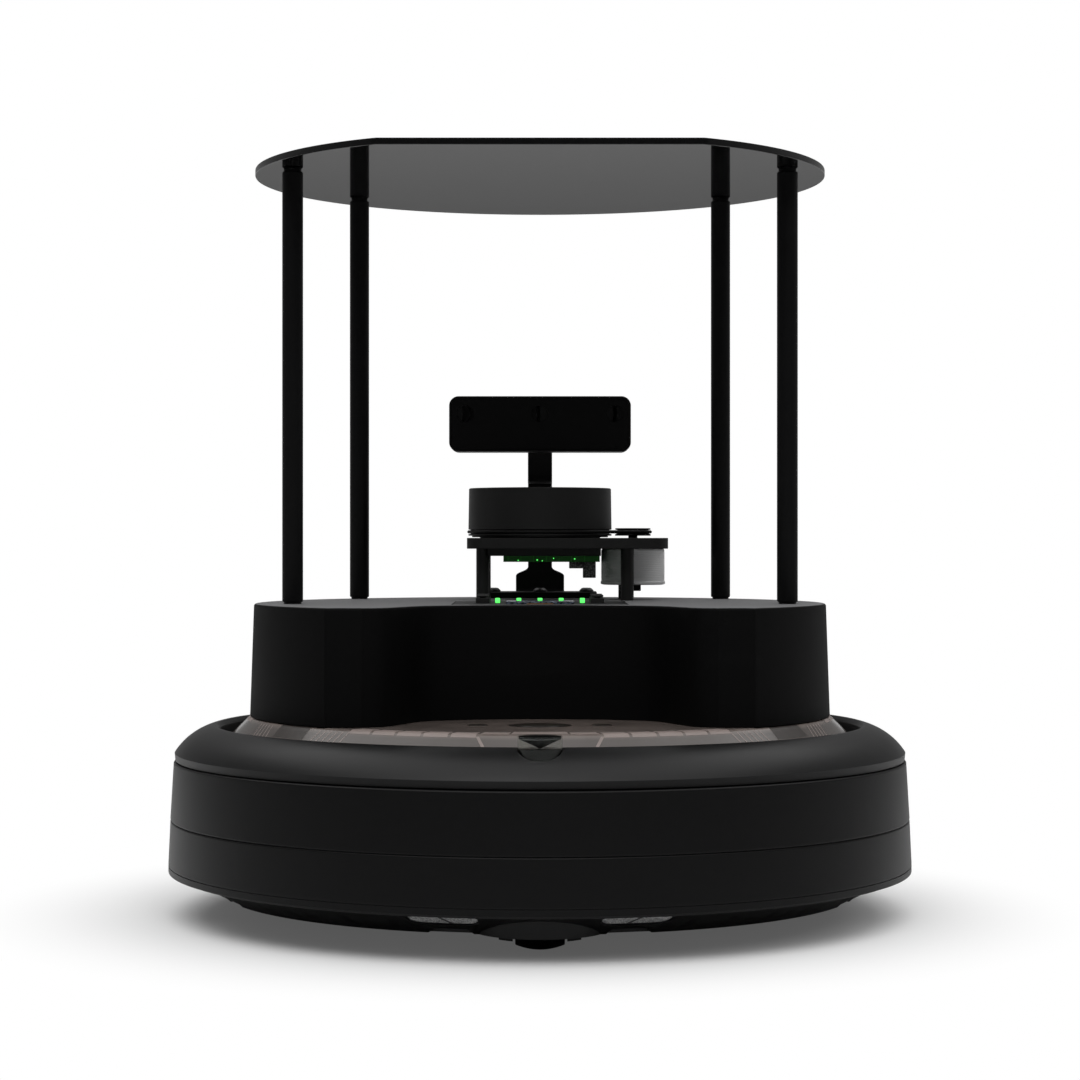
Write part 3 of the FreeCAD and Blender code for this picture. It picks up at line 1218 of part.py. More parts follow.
def ui_button(x, y):
    """Square key cap on a round stem."""
    low = SHELL_TOP + SWITCH_HEIGHT + KEY_LIFT
    half = KEY_SIZE / 2
    cap = rounded_block((x - half, x + half), (y - half, y + half), (low, low + KEY_HEIGHT), KEY_HEIGHT / 2)
    stem = disc(KEY_STEM_RADIUS, low - KEY_STEM_LENGTH, low, x, y)
    return cap.fuse(stem)


def post(x, y):
    """Round post, necked and chamfered at both ends, with a stud below and a tapped hole above."""
    neck = POST_NECK_LENGTH
    chamfer = POST_CHAMFER
    low = SHELL_TOP
    high = DECK_UNDERSIDE
    body = turned([
        (0.0, low - POST_STUD_LENGTH), (POST_STUD_RADIUS, low - POST_STUD_LENGTH), (POST_STUD_RADIUS, low),
        (POST_NECK_RADIUS, low), (POST_NECK_RADIUS, low + neck),
        (POST_RADIUS - chamfer, low + neck), (POST_RADIUS, low + neck + chamfer),
        (POST_RADIUS, high - neck - chamfer), (POST_RADIUS - chamfer, high - neck),
        (POST_NECK_RADIUS, high - neck), (POST_NECK_RADIUS, high), (0.0, high),
    ], x, y)
    return body.cut(disc(POST_SCREW_RADIUS, high - POST_SCREW_LENGTH, high, x, y))


def post_screw(x, y):
    """Flush screw with a hexagonal socket, driven down through the deck into a post."""
    low = DECK_TOP - DECK_THICKNESS - POST_SCREW_LENGTH
    body = turned([(0.0, low), (POST_SCREW_RADIUS, low), (POST_SCREW_RADIUS, DECK_TOP - POST_SCREW_SINK),
                   (POST_SCREW_HEAD, DECK_TOP), (0.0, DECK_TOP)], x, y)
    corners = [Vector(x + POST_SOCKET_RADIUS * math.cos(math.radians(60 * k)),
                      y + POST_SOCKET_RADIUS * math.sin(math.radians(60 * k)), DECK_TOP - POST_SOCKET_DEPTH)
               for k in range(7)]
    return body.cut(Part.Face(Part.makePolygon(corners)).extrude(Vector(0, 0, POST_SOCKET_DEPTH)))


def post_screws():
    """The four screws of the deck."""
    return Part.Compound([post_screw(x, y) for x, y in post_places().values()])


def top_plate():
    """Flat deck, round with a straight front edge and countersunk holes over the posts."""
    plate = disc(DECK_RADIUS, DECK_UNDERSIDE, DECK_TOP, 0.0, DECK_Y).cut(front_half(DECK_FRONT_Y))
    return plate.cut([turned([(0.0, DECK_UNDERSIDE), (POST_SCREW_RADIUS, DECK_UNDERSIDE),
                              (POST_SCREW_RADIUS, DECK_TOP - POST_SCREW_SINK), (POST_SCREW_HEAD, DECK_TOP),
                              (0.0, DECK_TOP)], x, y) for x, y in post_places().values()])


def scanner_legs():
    """Four round legs under the scanner."""
    return Part.Compound([disc(LEG_RADIUS, SHELL_TOP, SCANNER_PLATE_Z, x, SCANNER_Y + side * LEG_OFFSET_Y)
                          for x in (LEG_LEFT_X, LEG_RIGHT_X) for side in (-1, 1)])


def scanner_base():
    """Base plate of the scanner with the spindle on its low spigot and the block under it."""
    plate = rounded_block((-SCANNER_LEFT, SCANNER_RIGHT),
                          (SCANNER_Y - SCANNER_HALF_DEPTH, SCANNER_Y + SCANNER_HALF_DEPTH),
                          (SCANNER_PLATE_Z, SCANNER_TOP_Z), SCANNER_CORNER)
    under = block((-UNDERBLOCK_LEFT, UNDERBLOCK_RIGHT),
                  (SCANNER_Y - UNDERBLOCK_HALF_DEPTH, SCANNER_Y + UNDERBLOCK_HALF_DEPTH),
                  (SCANNER_PLATE_Z - UNDERBLOCK_HEIGHT, SCANNER_PLATE_Z))
    for x in (LEG_LEFT_X, LEG_RIGHT_X):
        for side in (-1, 1):
            under = under.cut(disc(LEG_RADIUS + COVER_GAP, 0.0, SCANNER_PLATE_Z, x, SCANNER_Y + side * LEG_OFFSET_Y))
    under = under.cut(disc(MOTOR_CAN_RADIUS + COVER_GAP, 0.0, SCANNER_PLATE_Z, PULLEY_X, SCANNER_Y))
    spindle = disc(SPINDLE_RADIUS, SCANNER_TOP_Z, SCANNER_TOP_Z + SPINDLE_HEIGHT, 0.0, SCANNER_Y)
    hole = disc(PULLEY_SHAFT + PULLEY_HOLE_GAP, 0.0, FAR, PULLEY_X, SCANNER_Y)
    spigot = disc(SPIGOT_RADIUS, SCANNER_TOP_Z, SCANNER_TOP_Z + SPIGOT_HEIGHT, 0.0, SCANNER_Y)
    return plate.fuse([under, spigot, spindle]).cut(hole).removeSplitter()


def scanner_board():
    """Green board under the scanner."""
    high = SCANNER_PLATE_Z - UNDERBLOCK_HEIGHT
    return block((-SCANNER_BOARD_LEFT, SCANNER_BOARD_RIGHT),
                 (SCANNER_Y - SCANNER_BOARD_HALF_DEPTH, SCANNER_Y + SCANNER_BOARD_HALF_DEPTH),
                 (high - SCANNER_BOARD_THICKNESS, high))


def scanner_connectors():
    """Two sockets hanging from the scanner's board."""
    high = SCANNER_PLATE_Z - UNDERBLOCK_HEIGHT - SCANNER_BOARD_THICKNESS
    return Part.Compound([block((start, end), (CONNECTOR_Y, CONNECTOR_Y + CONNECTOR_DEPTH), (high - drop, high))
                          for start, end, drop in CONNECTORS])


def scanner_motor():
    """Motor can under the plate, with a stepped lower rim and its terminal block."""
    high = SCANNER_PLATE_Z
    low = high - MOTOR_CAN_HEIGHT
    can = turned([(0.0, low), (MOTOR_CAN_RADIUS, low), (MOTOR_CAN_RADIUS, low + MOTOR_SKIRT),
                  (MOTOR_CAN_RADIUS - MOTOR_SKIRT_STEP, low + MOTOR_SKIRT),
                  (MOTOR_CAN_RADIUS - MOTOR_SKIRT_STEP, high), (0.0, high)], PULLEY_X, SCANNER_Y)
    bore = disc(PULLEY_SHAFT + PULLEY_FIT, high - PULLEY_SHAFT_LENGTH, high, PULLEY_X, SCANNER_Y)
    half = TERMINAL_SIZE / 2
    terminal = block((PULLEY_X - half, PULLEY_X + half), (SCANNER_Y - half, SCANNER_Y + half),
                     (low - TERMINAL_HEIGHT, low))
    return can.cut(bore).fuse(terminal)


def grooved(radius, low, high, floor):
    """Half of a turned profile between two heights, with the belt's groove cut to floor."""
    lip = BELT_RADIUS + BELT_GAP
    return [(radius, low), (radius, BELT_Z - lip), (floor, BELT_Z - lip), (floor, BELT_Z + lip),
            (radius, BELT_Z + lip), (radius, high)]


def scanner_head():
    """Turning head: neck, belt groove, tall wall and two apertures in its rear."""
    low = SCANNER_TOP_Z + HEAD_GAP
    flange_z = SCANNER_TOP_Z + HEAD_NECK_HEIGHT
    high = SCANNER_TOP_Z + HEAD_HEIGHT
    floor = BELT_HEAD_RADIUS - BELT_RADIUS - BELT_GAP
    top_radius = HEAD_RADIUS - HEAD_DRAFT
    profile = [(0.0, low), (HEAD_NECK, low), (HEAD_NECK, flange_z)]
    profile += grooved(HEAD_RADIUS, flange_z, BELT_Z + BELT_RADIUS + 2 * BELT_GAP, floor)
    profile += [(top_radius, high - HEAD_EDGE), (top_radius - HEAD_EDGE, high), (0.0, high)]
    head = turned(profile, 0.0, SCANNER_Y)
    bore = disc(SPINDLE_RADIUS + SPINDLE_FIT, 0.0, SCANNER_TOP_Z + SPINDLE_HEIGHT + HEAD_GAP, 0.0, SCANNER_Y)
    recess = disc(SPIGOT_RADIUS + HEAD_GAP, 0.0, SCANNER_TOP_Z + SPIGOT_HEIGHT + HEAD_GAP, 0.0, SCANNER_Y)
    rear = SCANNER_Y + top_radius - APERTURE_FLAT
    middle = SCANNER_TOP_Z + APERTURE_Z
    flat_half = APERTURE_X + DETECTOR_RADIUS + WALL
    flat = block((-flat_half, flat_half), (rear, SCANNER_Y + FAR),
                 (middle - DETECTOR_RADIUS - MIDDLE_CLEARANCE, middle + DETECTOR_RADIUS + MIDDLE_CLEARANCE))
    holes = [Part.makeCylinder(radius, APERTURE_DEPTH, Vector(x, rear - APERTURE_DEPTH, middle), Vector(0, 1, 0))
             for x, radius in ((-APERTURE_X, EMITTER_RADIUS), (APERTURE_X, DETECTOR_RADIUS))]
    return head.cut([bore, recess, flat] + holes).removeSplitter()


def scanner_pulley():
    """Small grooved pulley on the motor shaft."""
    high = SCANNER_TOP_Z + HEAD_NECK_HEIGHT + PULLEY_HEIGHT
    low = SCANNER_TOP_Z + HEAD_NECK_HEIGHT
    floor = BELT_PULLEY_RADIUS - BELT_RADIUS - BELT_GAP
    profile = [(0.0, low)] + grooved(PULLEY_RADIUS, low, high, floor) + [(0.0, high)]
    wheel = turned(profile, PULLEY_X, SCANNER_Y)
    shaft = disc(PULLEY_SHAFT, SCANNER_PLATE_Z - PULLEY_SHAFT_LENGTH + MIDDLE_CLEARANCE, low, PULLEY_X, SCANNER_Y)
    return joined([wheel, shaft])


def belt_path():
    """Closed path of the round belt: two arcs joined by their outer tangents."""
    spread = math.acos((BELT_HEAD_RADIUS - BELT_PULLEY_RADIUS) / PULLEY_X)

    def place(x, radius, angle):
        return Vector(x + radius * math.cos(angle), SCANNER_Y + radius * math.sin(angle), BELT_Z)
    head_up = place(0.0, BELT_HEAD_RADIUS, spread)
    head_far = place(0.0, BELT_HEAD_RADIUS, math.pi)
    head_down = place(0.0, BELT_HEAD_RADIUS, -spread)
    pulley_down = place(PULLEY_X, BELT_PULLEY_RADIUS, -spread)
    pulley_far = place(PULLEY_X, BELT_PULLEY_RADIUS, 0.0)
    pulley_up = place(PULLEY_X, BELT_PULLEY_RADIUS, spread)
    edges = [Part.Arc(head_up, head_far, head_down).toShape(), Part.makeLine(head_down, pulley_down),
             Part.Arc(pulley_down, pulley_far, pulley_up).toShape(), Part.makeLine(pulley_up, head_up)]
    return Part.Wire(edges), head_up, (pulley_up - head_up)


def scanner_belt():
    """Round belt from the pulley to the head."""
    path, start, heading = belt_path()
    section = Part.Wire(Part.makeCircle(BELT_RADIUS, start, heading))
    return path.makePipeShell([section], True, False)


def camera_block(x_half, y_range, z_range, corner):
    """Block with round corners seen from the front."""
    shape = block((-x_half, x_half), y_range, z_range)
    edges = [edge for edge in shape.Edges if abs(edge.tangentAt(0).y) > 0.9]
    return shape.makeFillet(corner, edges)


def camera_body():
    """Metal camera housing with a recessed front and fins across its back."""
    high = CAMERA_Z + CAMERA_HEIGHT
    half = CAMERA_WIDTH / 2
    body = camera_block(half, (CAMERA_FRONT_Y, CAMERA_BACK_Y), (CAMERA_Z, high), CAMERA_CORNER)
    front = camera_block(half - CAMERA_RIM, (CAMERA_FRONT_Y, CAMERA_FRONT_Y + CAMERA_GLASS),
                         (CAMERA_Z + CAMERA_RIM, high - CAMERA_RIM), CAMERA_CORNER - CAMERA_RIM)
    reach = half - CAMERA_CORNER
    step = (reach - CAMERA_PAD) / (FIN_COUNT - 1) * 2
    gaps = []
    for k in range((FIN_COUNT + 1) // 2):
        for side in (-1, 1):
            x = side * (CAMERA_PAD + FIN_GAP + k * step)
            gaps.append(block((x - FIN_GAP / 2, x + FIN_GAP / 2), (CAMERA_BACK_Y - FIN_DEPTH, FAR),
                              (CAMERA_Z + FIN_MARGIN, high - FIN_MARGIN)))
    return body.cut([front] + gaps)


def lens_places():
    """Three lenses in a row."""
    return [(x, CAMERA_Z + CAMERA_HEIGHT - LENS_DROP) for x in (-LENS_STEP, 0.0, LENS_STEP)]


def camera_glass():
    """Dark front glass with holes for the lenses."""
    glass = camera_block(CAMERA_WIDTH / 2 - CAMERA_RIM, (CAMERA_FRONT_Y, CAMERA_FRONT_Y + CAMERA_GLASS),
                         (CAMERA_Z + CAMERA_RIM, CAMERA_Z + CAMERA_HEIGHT - CAMERA_RIM), CAMERA_CORNER - CAMERA_RIM)
    return glass.cut([Part.makeCylinder(LENS_RADIUS, CAMERA_GLASS, Vector(x, CAMERA_FRONT_Y, z), Vector(0, 1, 0))
                      for x, z in lens_places()])


def camera_lenses():
    """Round lens cells set back in the glass."""
    cells = []
    for x, z in lens_places():
        cell = Part.makeCylinder(LENS_RADIUS, CAMERA_GLASS, Vector(x, CAMERA_FRONT_Y, z), Vector(0, 1, 0))
        dish = Part.makeCone(LENS_RADIUS * 0.8, LENS_RADIUS * 0.45, CAMERA_GLASS / 2,
                             Vector(x, CAMERA_FRONT_Y, z), Vector(0, 1, 0))
        cells.append(cell.cut(dish))
    return Part.Compound(cells)


def bent_sheet(path, thickness, bend_radius):
    """Section of a bent sheet from the (y, z) corners of its left face's path."""
    count = len(path)

    def normal(k):
        dy = path[k + 1][0] - path[k][0]
        dz = path[k + 1][1] - path[k][1]
        length = math.hypot(dy, dz)
        return -dz / length, dy / length

    def offset(distance):
        corners = []
        for k in range(count):
            before = normal(max(k - 1, 0))
            after = normal(min(k, count - 2))
            scale = distance / (1 + before[0] * after[0] + before[1] * after[1])
            corners.append(Vector(0, path[k][0] + (before[0] + after[0]) * scale,
                                  path[k][1] + (before[1] + after[1]) * scale))
        return corners

    face = Part.Face(Part.makePolygon(offset(0.0) + offset(thickness)[::-1] + offset(0.0)[:1]))
    solid = face.extrude(Vector(FAR, 0, 0))
    solid.translate(Vector(-FAR / 2, 0, 0))
    inner = []
    outer = []
    for k in range(1, count - 1):
        turn = normal(k - 1)[0] * normal(k)[1] - normal(k - 1)[1] * normal(k)[0]
        left_turn = turn > 0
        inner.append(offset(thickness)[k] if left_turn else offset(0.0)[k])
        outer.append(offset(0.0)[k] if left_turn else offset(thickness)[k])

    def edges_at(places):
        return [edge for edge in solid.Edges if edge.Length > FAR / 2
                and any(abs(edge.CenterOfMass.y - place.y) + abs(edge.CenterOfMass.z - place.z) < bend_radius / 10
                        for place in places)]
    solid = solid.makeFillet(bend_radius, edges_at(inner))
    return solid.makeFillet(bend_radius + thickness, edges_at(outer))


def bracket_front():
    """Front silhouette of the bracket: wide foot, waisted plate and narrow strip."""
    low = SHELL_TOP
    shoulder = low + PLATE_TOP
    neck = shoulder + PLATE_CURVE
    high = SHELL_TOP + BRACKET_TOP
    right = [Vector(FOOT_HALF_WIDTH, 0, low), Vector(FOOT_HALF_WIDTH, 0, low + SHEET),
             Vector(PLATE_HALF_WIDTH, 0, low + SHEET), Vector(PLATE_HALF_WIDTH, 0, shoulder),
             Vector(STRIP_HALF_WIDTH, 0, neck), Vector(STRIP_HALF_WIDTH, 0, high)]
    left = [Vector(-point.x, 0, point.z) for point in reversed(right)]
    edges = []
    for side in (right, left):
        for k in range(len(side) - 1):
            if {round(abs(side[k].x), 3), round(abs(side[k + 1].x), 3)} == {round(PLATE_HALF_WIDTH, 3),
                                                                         round(STRIP_HALF_WIDTH, 3)}:
                curve = Part.BezierCurve()
                first, last = side[k], side[k + 1]
                middle = (first.z + last.z) / 2
                curve.setPoles([first, Vector(first.x, 0, middle), Vector(last.x, 0, middle), last])
                edges.append(curve.toShape())
            else:
                edges.append(Part.makeLine(side[k], side[k + 1]))
        edges.append(Part.makeLine(side[-1], (left if side is right else right)[0]))
    face = Part.Face(Part.Wire(edges))
    face.translate(Vector(0, -FAR, 0))
    return face.extrude(Vector(0, 2 * FAR, 0))


def camera_bracket():
    """Bent sheet bracket from the shell up to the back of the camera."""
    low = SHELL_TOP
    back = UPRIGHT_Y + SHEET / 2
    jog = SHELL_TOP + JOG_Z
    upper = CAMERA_BACK_Y + SHEET
    path = [(FOOT_FRONT_Y, low), (back, low), (back, jog), (upper, jog), (upper, SHELL_TOP + BRACKET_TOP)]
    sheet = bent_sheet(path, SHEET, BEND_RADIUS)
    holes = [disc(FOOT_SCREW_SHANK, 0.0, FAR, x, FOOT_SCREW_Y) for x in FOOT_SCREWS_X]
    return sheet.common(bracket_front()).cut(holes)


def bracket_screws():
    """Round-head screws through the bracket's foot."""
    low = SHELL_TOP + SHEET
    screws = []
    for x in FOOT_SCREWS_X:
        head = Part.makeSphere(FOOT_SCREW_RADIUS, Vector(x, FOOT_SCREW_Y, low),
                               Vector(0, 0, 1), 0, 90, 360)
        squash = FreeCAD.Matrix()
        squash.scale(Vector(1, 1, FOOT_SCREW_HEIGHT / FOOT_SCREW_RADIUS))
        head.translate(Vector(-x, -FOOT_SCREW_Y, -low))
        head = head.transformGeometry(squash)
        head.translate(Vector(x, FOOT_SCREW_Y, low))
        socket = disc(FOOT_SOCKET_RADIUS, low + FOOT_SCREW_HEIGHT / 2, FAR, x, FOOT_SCREW_Y)
        shank = disc(FOOT_SCREW_SHANK, low - FOOT_SCREW_LENGTH, low, x, FOOT_SCREW_Y)
        screws.append(head.cut(socket).fuse(shank))
    return Part.Compound(screws)


def all_nodes():
    """Every node of the robot by name."""
    nodes = {
        "chassis": chassis(),
        "faceplate": faceplate(),
        "trim_ring": trim_ring(),
        "battery": battery(),
        "battery_cover": battery_cover(),
        "main_board": main_board(),
        "charge_contacts": charge_contacts(),
        "cliff_windows": cliff_windows(),
        "ir_receiver_lens": ir_receiver_lens(),
        "ir_receiver_cone": ir_receiver_cone(),
        "light_ring": light_ring(),
        "base_screws": base_screws(),
        "bumper_window": bumper_window(),
        "bumper_skirt": bumper_skirt(),
        "caster_fork": caster_fork(),
        "caster_wheel": caster_wheel(),
        "caster_axle": caster_axle(),
        "cargo_tray": cargo_tray(),
        "power_button": base_button(POWER_RADIUS, 0.0),
        "base_button_left": base_button(BASE_BUTTON_RADIUS, -BASE_BUTTON_X),
        "base_button_right": base_button(BASE_BUTTON_RADIUS, BASE_BUTTON_X),
        "shell": shell(),
        "weight_blocks": weight_blocks(),
        "computer_board": computer_board(),
        "computer_ports": computer_ports(),
        "ui_board": ui_board(),
        "ui_display": ui_display(),
        "ui_flex": ui_flex(),
        "ui_leds": ui_leds(),
        "ui_switches": ui_switches(),
        "top_plate": top_plate(),
        "post_screws": post_screws(),
        "scanner_legs": scanner_legs(),
        "scanner_base": scanner_base(),
        "scanner_board": scanner_board(),
        "scanner_connectors": scanner_connectors(),
        "scanner_motor": scanner_motor(),
        "scanner_belt": scanner_belt(),
        "scanner_head": scanner_head(),
        "scanner_pulley": scanner_pulley(),
        "camera_body": camera_body(),
        "camera_glass": camera_glass(),
        "camera_lenses": camera_lenses(),
        "camera_bracket": camera_bracket(),
        "bracket_screws": bracket_screws(),
    }
    for name, make in (("tyre", right_tyre), ("hub", right_hub), ("gearbox", right_gearbox)):
        nodes["right_" + name] = make()
        nodes["left_" + name] = mirrored(nodes["right_" + name])
    for name, (x, y) in post_places().items():
        nodes["post_" + name] = post(x, y)
    for number, (x, y) in enumerate(switch_places(), start=1):
        nodes["ui_button_" + str(number)] = ui_button(x, y)
    return nodes


os.makedirs("parts", exist_ok=True)
for node_name, node_shape in all_nodes().items():
    node_shape.exportStep("parts/" + node_name + ".step")
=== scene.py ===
import json
import math

import bmesh
import bpy
from mathutils import Matrix, Vector


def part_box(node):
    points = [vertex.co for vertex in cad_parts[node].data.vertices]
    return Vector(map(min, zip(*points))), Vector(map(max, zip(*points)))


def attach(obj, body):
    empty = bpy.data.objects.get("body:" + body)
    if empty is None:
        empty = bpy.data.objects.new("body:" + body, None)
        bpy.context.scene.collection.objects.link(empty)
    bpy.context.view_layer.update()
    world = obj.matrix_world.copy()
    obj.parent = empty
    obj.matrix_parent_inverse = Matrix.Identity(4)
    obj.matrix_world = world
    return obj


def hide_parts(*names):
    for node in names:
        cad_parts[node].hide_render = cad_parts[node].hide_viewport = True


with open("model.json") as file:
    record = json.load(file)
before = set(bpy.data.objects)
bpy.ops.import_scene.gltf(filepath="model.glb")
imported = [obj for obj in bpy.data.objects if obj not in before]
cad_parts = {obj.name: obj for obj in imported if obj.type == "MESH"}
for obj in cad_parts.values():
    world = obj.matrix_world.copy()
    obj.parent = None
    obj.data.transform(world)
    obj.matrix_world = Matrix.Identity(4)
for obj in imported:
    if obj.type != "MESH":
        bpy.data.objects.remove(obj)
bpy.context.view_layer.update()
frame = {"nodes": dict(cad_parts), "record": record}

SCENE = bpy.context.scene
CAD = frame["nodes"]
MM = 0.001
BODY_OF = {node: body for body, nodes in frame["record"]["behaviour"]["bodies"].items()
           for node in nodes}
SLOT_OF = {row["node"]: row["material_slot"] for row in frame["record"]["subparts"]}

# Sizes that the dressed pieces share with the solids, in millimetres
RIM_RADIUS = 168.4
RIM_Z = 70.8
CREST_RADIUS = 151.1
CREST_Z = 86.3
LEDGE_RADIUS = 139.0
LEDGE_Z = 80.0
RING_INNER = 148.0
RING_WALL = 5.2
SHELL_LOW = 90.5
SHELL_TOP = 141.9
SHELL_HEIGHT = SHELL_TOP - SHELL_LOW
SHELL_RADIUS = 132.3
SHELL_DRAFT = 1.8
SHELL_WALL = 3.0
SHELL_FOOT = 0.3
SHELL_ROUND = 1.2
LOBE_Y = -94.4
RECESS_Y = -39.0
RECESS_DRAFT = 2.6
WAVE = ((77.0, 1.0), (67.2, 0.895), (60.0, 0.62), (53.1, 0.318), (42.7, 0.157), (21.0, 0.035))
BUTTON_Y = -80.0
BUTTON_X = 27.0
POSTS = {"front_left": (-113.0, -22.4), "front_right": (113.0, -22.4),
         "rear_left": (-89.6, 82.5), "rear_right": (89.6, 82.5)}
DECK_LOW = 340.1
DECK_TOP = 343.1
DECK_RADIUS = 133.0
DECK_Y = 12.0
DECK_FRONT_Y = -100.9
PLATE_FLAT = 133.8
PLATE_RADIUS = 142.2
PLATE_SLOPE_Z = 82.5
WHEEL_X = 116.5
WHEEL_RADIUS = 36.0
TYRE_WIDTH = 19.0
SCANNER_Y = 68.5
SCANNER_TOP = 172.1
SCANNER_FLAT_Y = SCANNER_Y + 34.85 - 3.2
PULLEY_X = 45.6
MOTOR_RADIUS = 15.5

# Sizes of the scene alone, in millimetres and degrees; the receiver stands a little further
# forward than its solids, where the photograph shows it
RECEIVER_Y = -152.0
RECEIVER_TOP = 91.2
RECEIVER_RADIUS = 9.2
LIP_HEIGHT = 3.2
PLATE_EASE = 1.0
STRIP_LIFT = 0.05
STRIP_SINK = 0.12
FRONT_RIB = 11.1
FRONT_DASHES = 5
DASH_STEP = 5.2
DASH_GAP = 0.6
REAR_DASHES = 72.0
BAR_STEP = 1.44
BAR_HALF = 0.12
TREADS = 30
TREAD_GAP = 3.0
MOTOR_LINES = 14
PLACES_SEED = 3

# Stage: distances in metres, brightness where 1 is white
FLOOR_SIZE = 6000.0
FLOOR_KEPT = 0.138
FLOOR_WHITE = 0.262
FLOOR_SHARE = 0.09
FLOOR_MIDDLE = (-0.006, 0.0, 0.0)
# Paper colours are painted shade: darker than plain white paper and darker still far off, they
# stand in for the object's shadow near it and for light falling off away from the lamps.
PAPER_NEAR_SHADED = 0.78
PAPER_FAR_SHADED = 0.58
ROOM_FRONT = 0.07
ROOM_BACK = 0.20
ROOM_ASIDE = 0.06
BAND_SHARE = 0.5
LAMPS = (("overhead", (0.0, 0.1, 1.6), (0.0, 0.1, 0.0), (3.0, 3.0), 39.0),
         ("front_window", (-0.2, -1.9, 2.2), (0.0, 0.0, 0.1), (2.2, 1.1), 21.0))
CAMERA_PLACE = (0.0, -1.233, 0.1711)
FOCAL_PIXELS = 2650.0
FRAME_PIXELS = 1080.0
SENSOR = 36.0
WHITE = (1.0, 1.0, 1.0, 1.0)
DUST_COLOUR = (0.42, 0.40, 0.37)


# Shader nodes

def feed(tree, slot, value):
    """Links a socket to a slot, or sets the slot to a plain value."""
    if isinstance(value, bpy.types.NodeSocket):
        tree.links.new(value, slot)
    else:
        slot.default_value = value


def add_node(tree, kind, **given):
    """Node with its inputs linked or set by name; an underscore stands for a space."""
    node = tree.nodes.new(kind)
    for label, value in given.items():
        feed(tree, node.inputs[label.replace("_", " ")], value)
    return node


def math_node(tree, operation, first, second=0.0):
    """Math node on two values or sockets."""
    node = tree.nodes.new("ShaderNodeMath")
    node.operation = operation
    for slot, value in zip(node.inputs, (first, second)):
        feed(tree, slot, value)
    return node.outputs[0]


def product(tree, first, second):
    """Product of two values or sockets."""
    return math_node(tree, "MULTIPLY", first, second)


def ranged(tree, value, low, high, to_low=0.0, to_high=1.0):
    """Value moved smoothly from one range to another."""
    node = add_node(tree, "ShaderNodeMapRange", Value=value, From_Min=low, From_Max=high,
                    To_Min=to_low, To_Max=to_high)
    node.interpolation_type = "SMOOTHSTEP"
    return node.outputs[0]


def noise_node(tree, place, scale, detail, distortion=0.0):
    """Noise over a place."""
    node = add_node(tree, "ShaderNodeTexNoise", Vector=place, Scale=scale, Detail=detail,
                    Distortion=distortion)
    return node.outputs["Fac"]


def blended(tree, factor, first, second):
    """Colour mix: factor socket, then two colours or sockets."""
    node = tree.nodes.new("ShaderNodeMix")
    node.data_type = "RGBA"
    feed(tree, node.inputs["Factor"], factor)
    slots = [socket for socket in node.inputs if socket.type == "RGBA"]
    for slot, value in zip(slots, (first, second)):
        feed(tree, slot, (*value, 1.0) if isinstance(value, tuple) else value)
    return next(socket for socket in node.outputs if socket.type == "RGBA")


def tinted(colour, factor, lift=0.0):
    """Colour times a factor, plus a lift, kept at 1 or less."""
    return tuple(min(1.0, channel * factor + lift) for channel in colour)


def object_place(tree):
    """Place on the object."""
    return tree.nodes.new("ShaderNodeTexCoord").outputs["Object"]


def stretched(tree, scale, rotation=(0.0, 0.0, 0.0)):
    """Place on the object, stretched and turned."""
    return add_node(tree, "ShaderNodeMapping", Vector=object_place(tree), Scale=scale,
                    Rotation=rotation).outputs["Vector"]


def parts_of(tree, vector):
    """X, Y and Z of a vector socket."""
    return add_node(tree, "ShaderNodeSeparateXYZ", Vector=vector).outputs


def upward(tree, low, high):
    """Share by which a face looks up."""
    normal = tree.nodes.new("ShaderNodeNewGeometry").outputs["Normal"]
    return ranged(tree, parts_of(tree, normal)["Z"], low, high)


# Shader groups

def group_tree(name, inputs, outputs):
    """Empty shader group of plain numbers: inputs as (label, default), outputs as labels."""
    tree = bpy.data.node_groups.new(name, "ShaderNodeTree")
    for label, value in inputs:
        socket = tree.interface.new_socket(label, in_out="INPUT", socket_type="NodeSocketFloat")
        socket.default_value = value
    for label in outputs:
        tree.interface.new_socket(label, in_out="OUTPUT", socket_type="NodeSocketFloat")
    given = tree.nodes.new("NodeGroupInput")
    return tree, given.outputs, tree.nodes.new("NodeGroupOutput").inputs


def moulded_grain_group():
    """Fine spark grain of a moulded face: a height, and a slow change of tone."""
    tree, given, made = group_tree("moulded_grain", (("Scale", 1800.0), ("Mottle", 22.0)),
                                   ("Height", "Tone"))
    place = object_place(tree)
    feed(tree, made["Height"], noise_node(tree, place, given["Scale"], 3.0))
    feed(tree, made["Tone"], noise_node(tree, place, given["Mottle"], 4.0))
    return tree


def handling_group():
    """Faint wiped smears and hairline scuffs: a mask for roughness and one for scratches."""
    tree, given, made = group_tree("handling", (("Smear Scale", 9.0), ("Scuff Scale", 60.0)),
                                   ("Smear", "Scuff"))
    smear = noise_node(tree, object_place(tree), given["Smear Scale"], 5.0, 0.6)
    feed(tree, made["Smear"], ranged(tree, smear, 0.42, 0.7))
    drawn = stretched(tree, (0.12, 1.0, 0.7), (0.2, 0.1, 0.6))
    scuff = noise_node(tree, drawn, given["Scuff Scale"], 2.0)
    feed(tree, made["Scuff"], ranged(tree, scuff, 0.66, 0.72))
    return tree


def dust_group():
    """Light dust that settles on faces that look up."""
    tree, given, made = group_tree("settled_dust", (("Scale", 260.0),), ("Dust",))
    place = object_place(tree)
    specks = ranged(tree, noise_node(tree, place, given["Scale"], 6.0), 0.52, 0.75)
    broad = ranged(tree, noise_node(tree, place, 14.0, 3.0), 0.35, 0.75)
    feed(tree, made["Dust"], product(tree, product(tree, specks, broad), upward(tree, 0.55, 0.98)))
    return tree


GRAIN = moulded_grain_group()
HANDLING = handling_group()
DUST = dust_group()


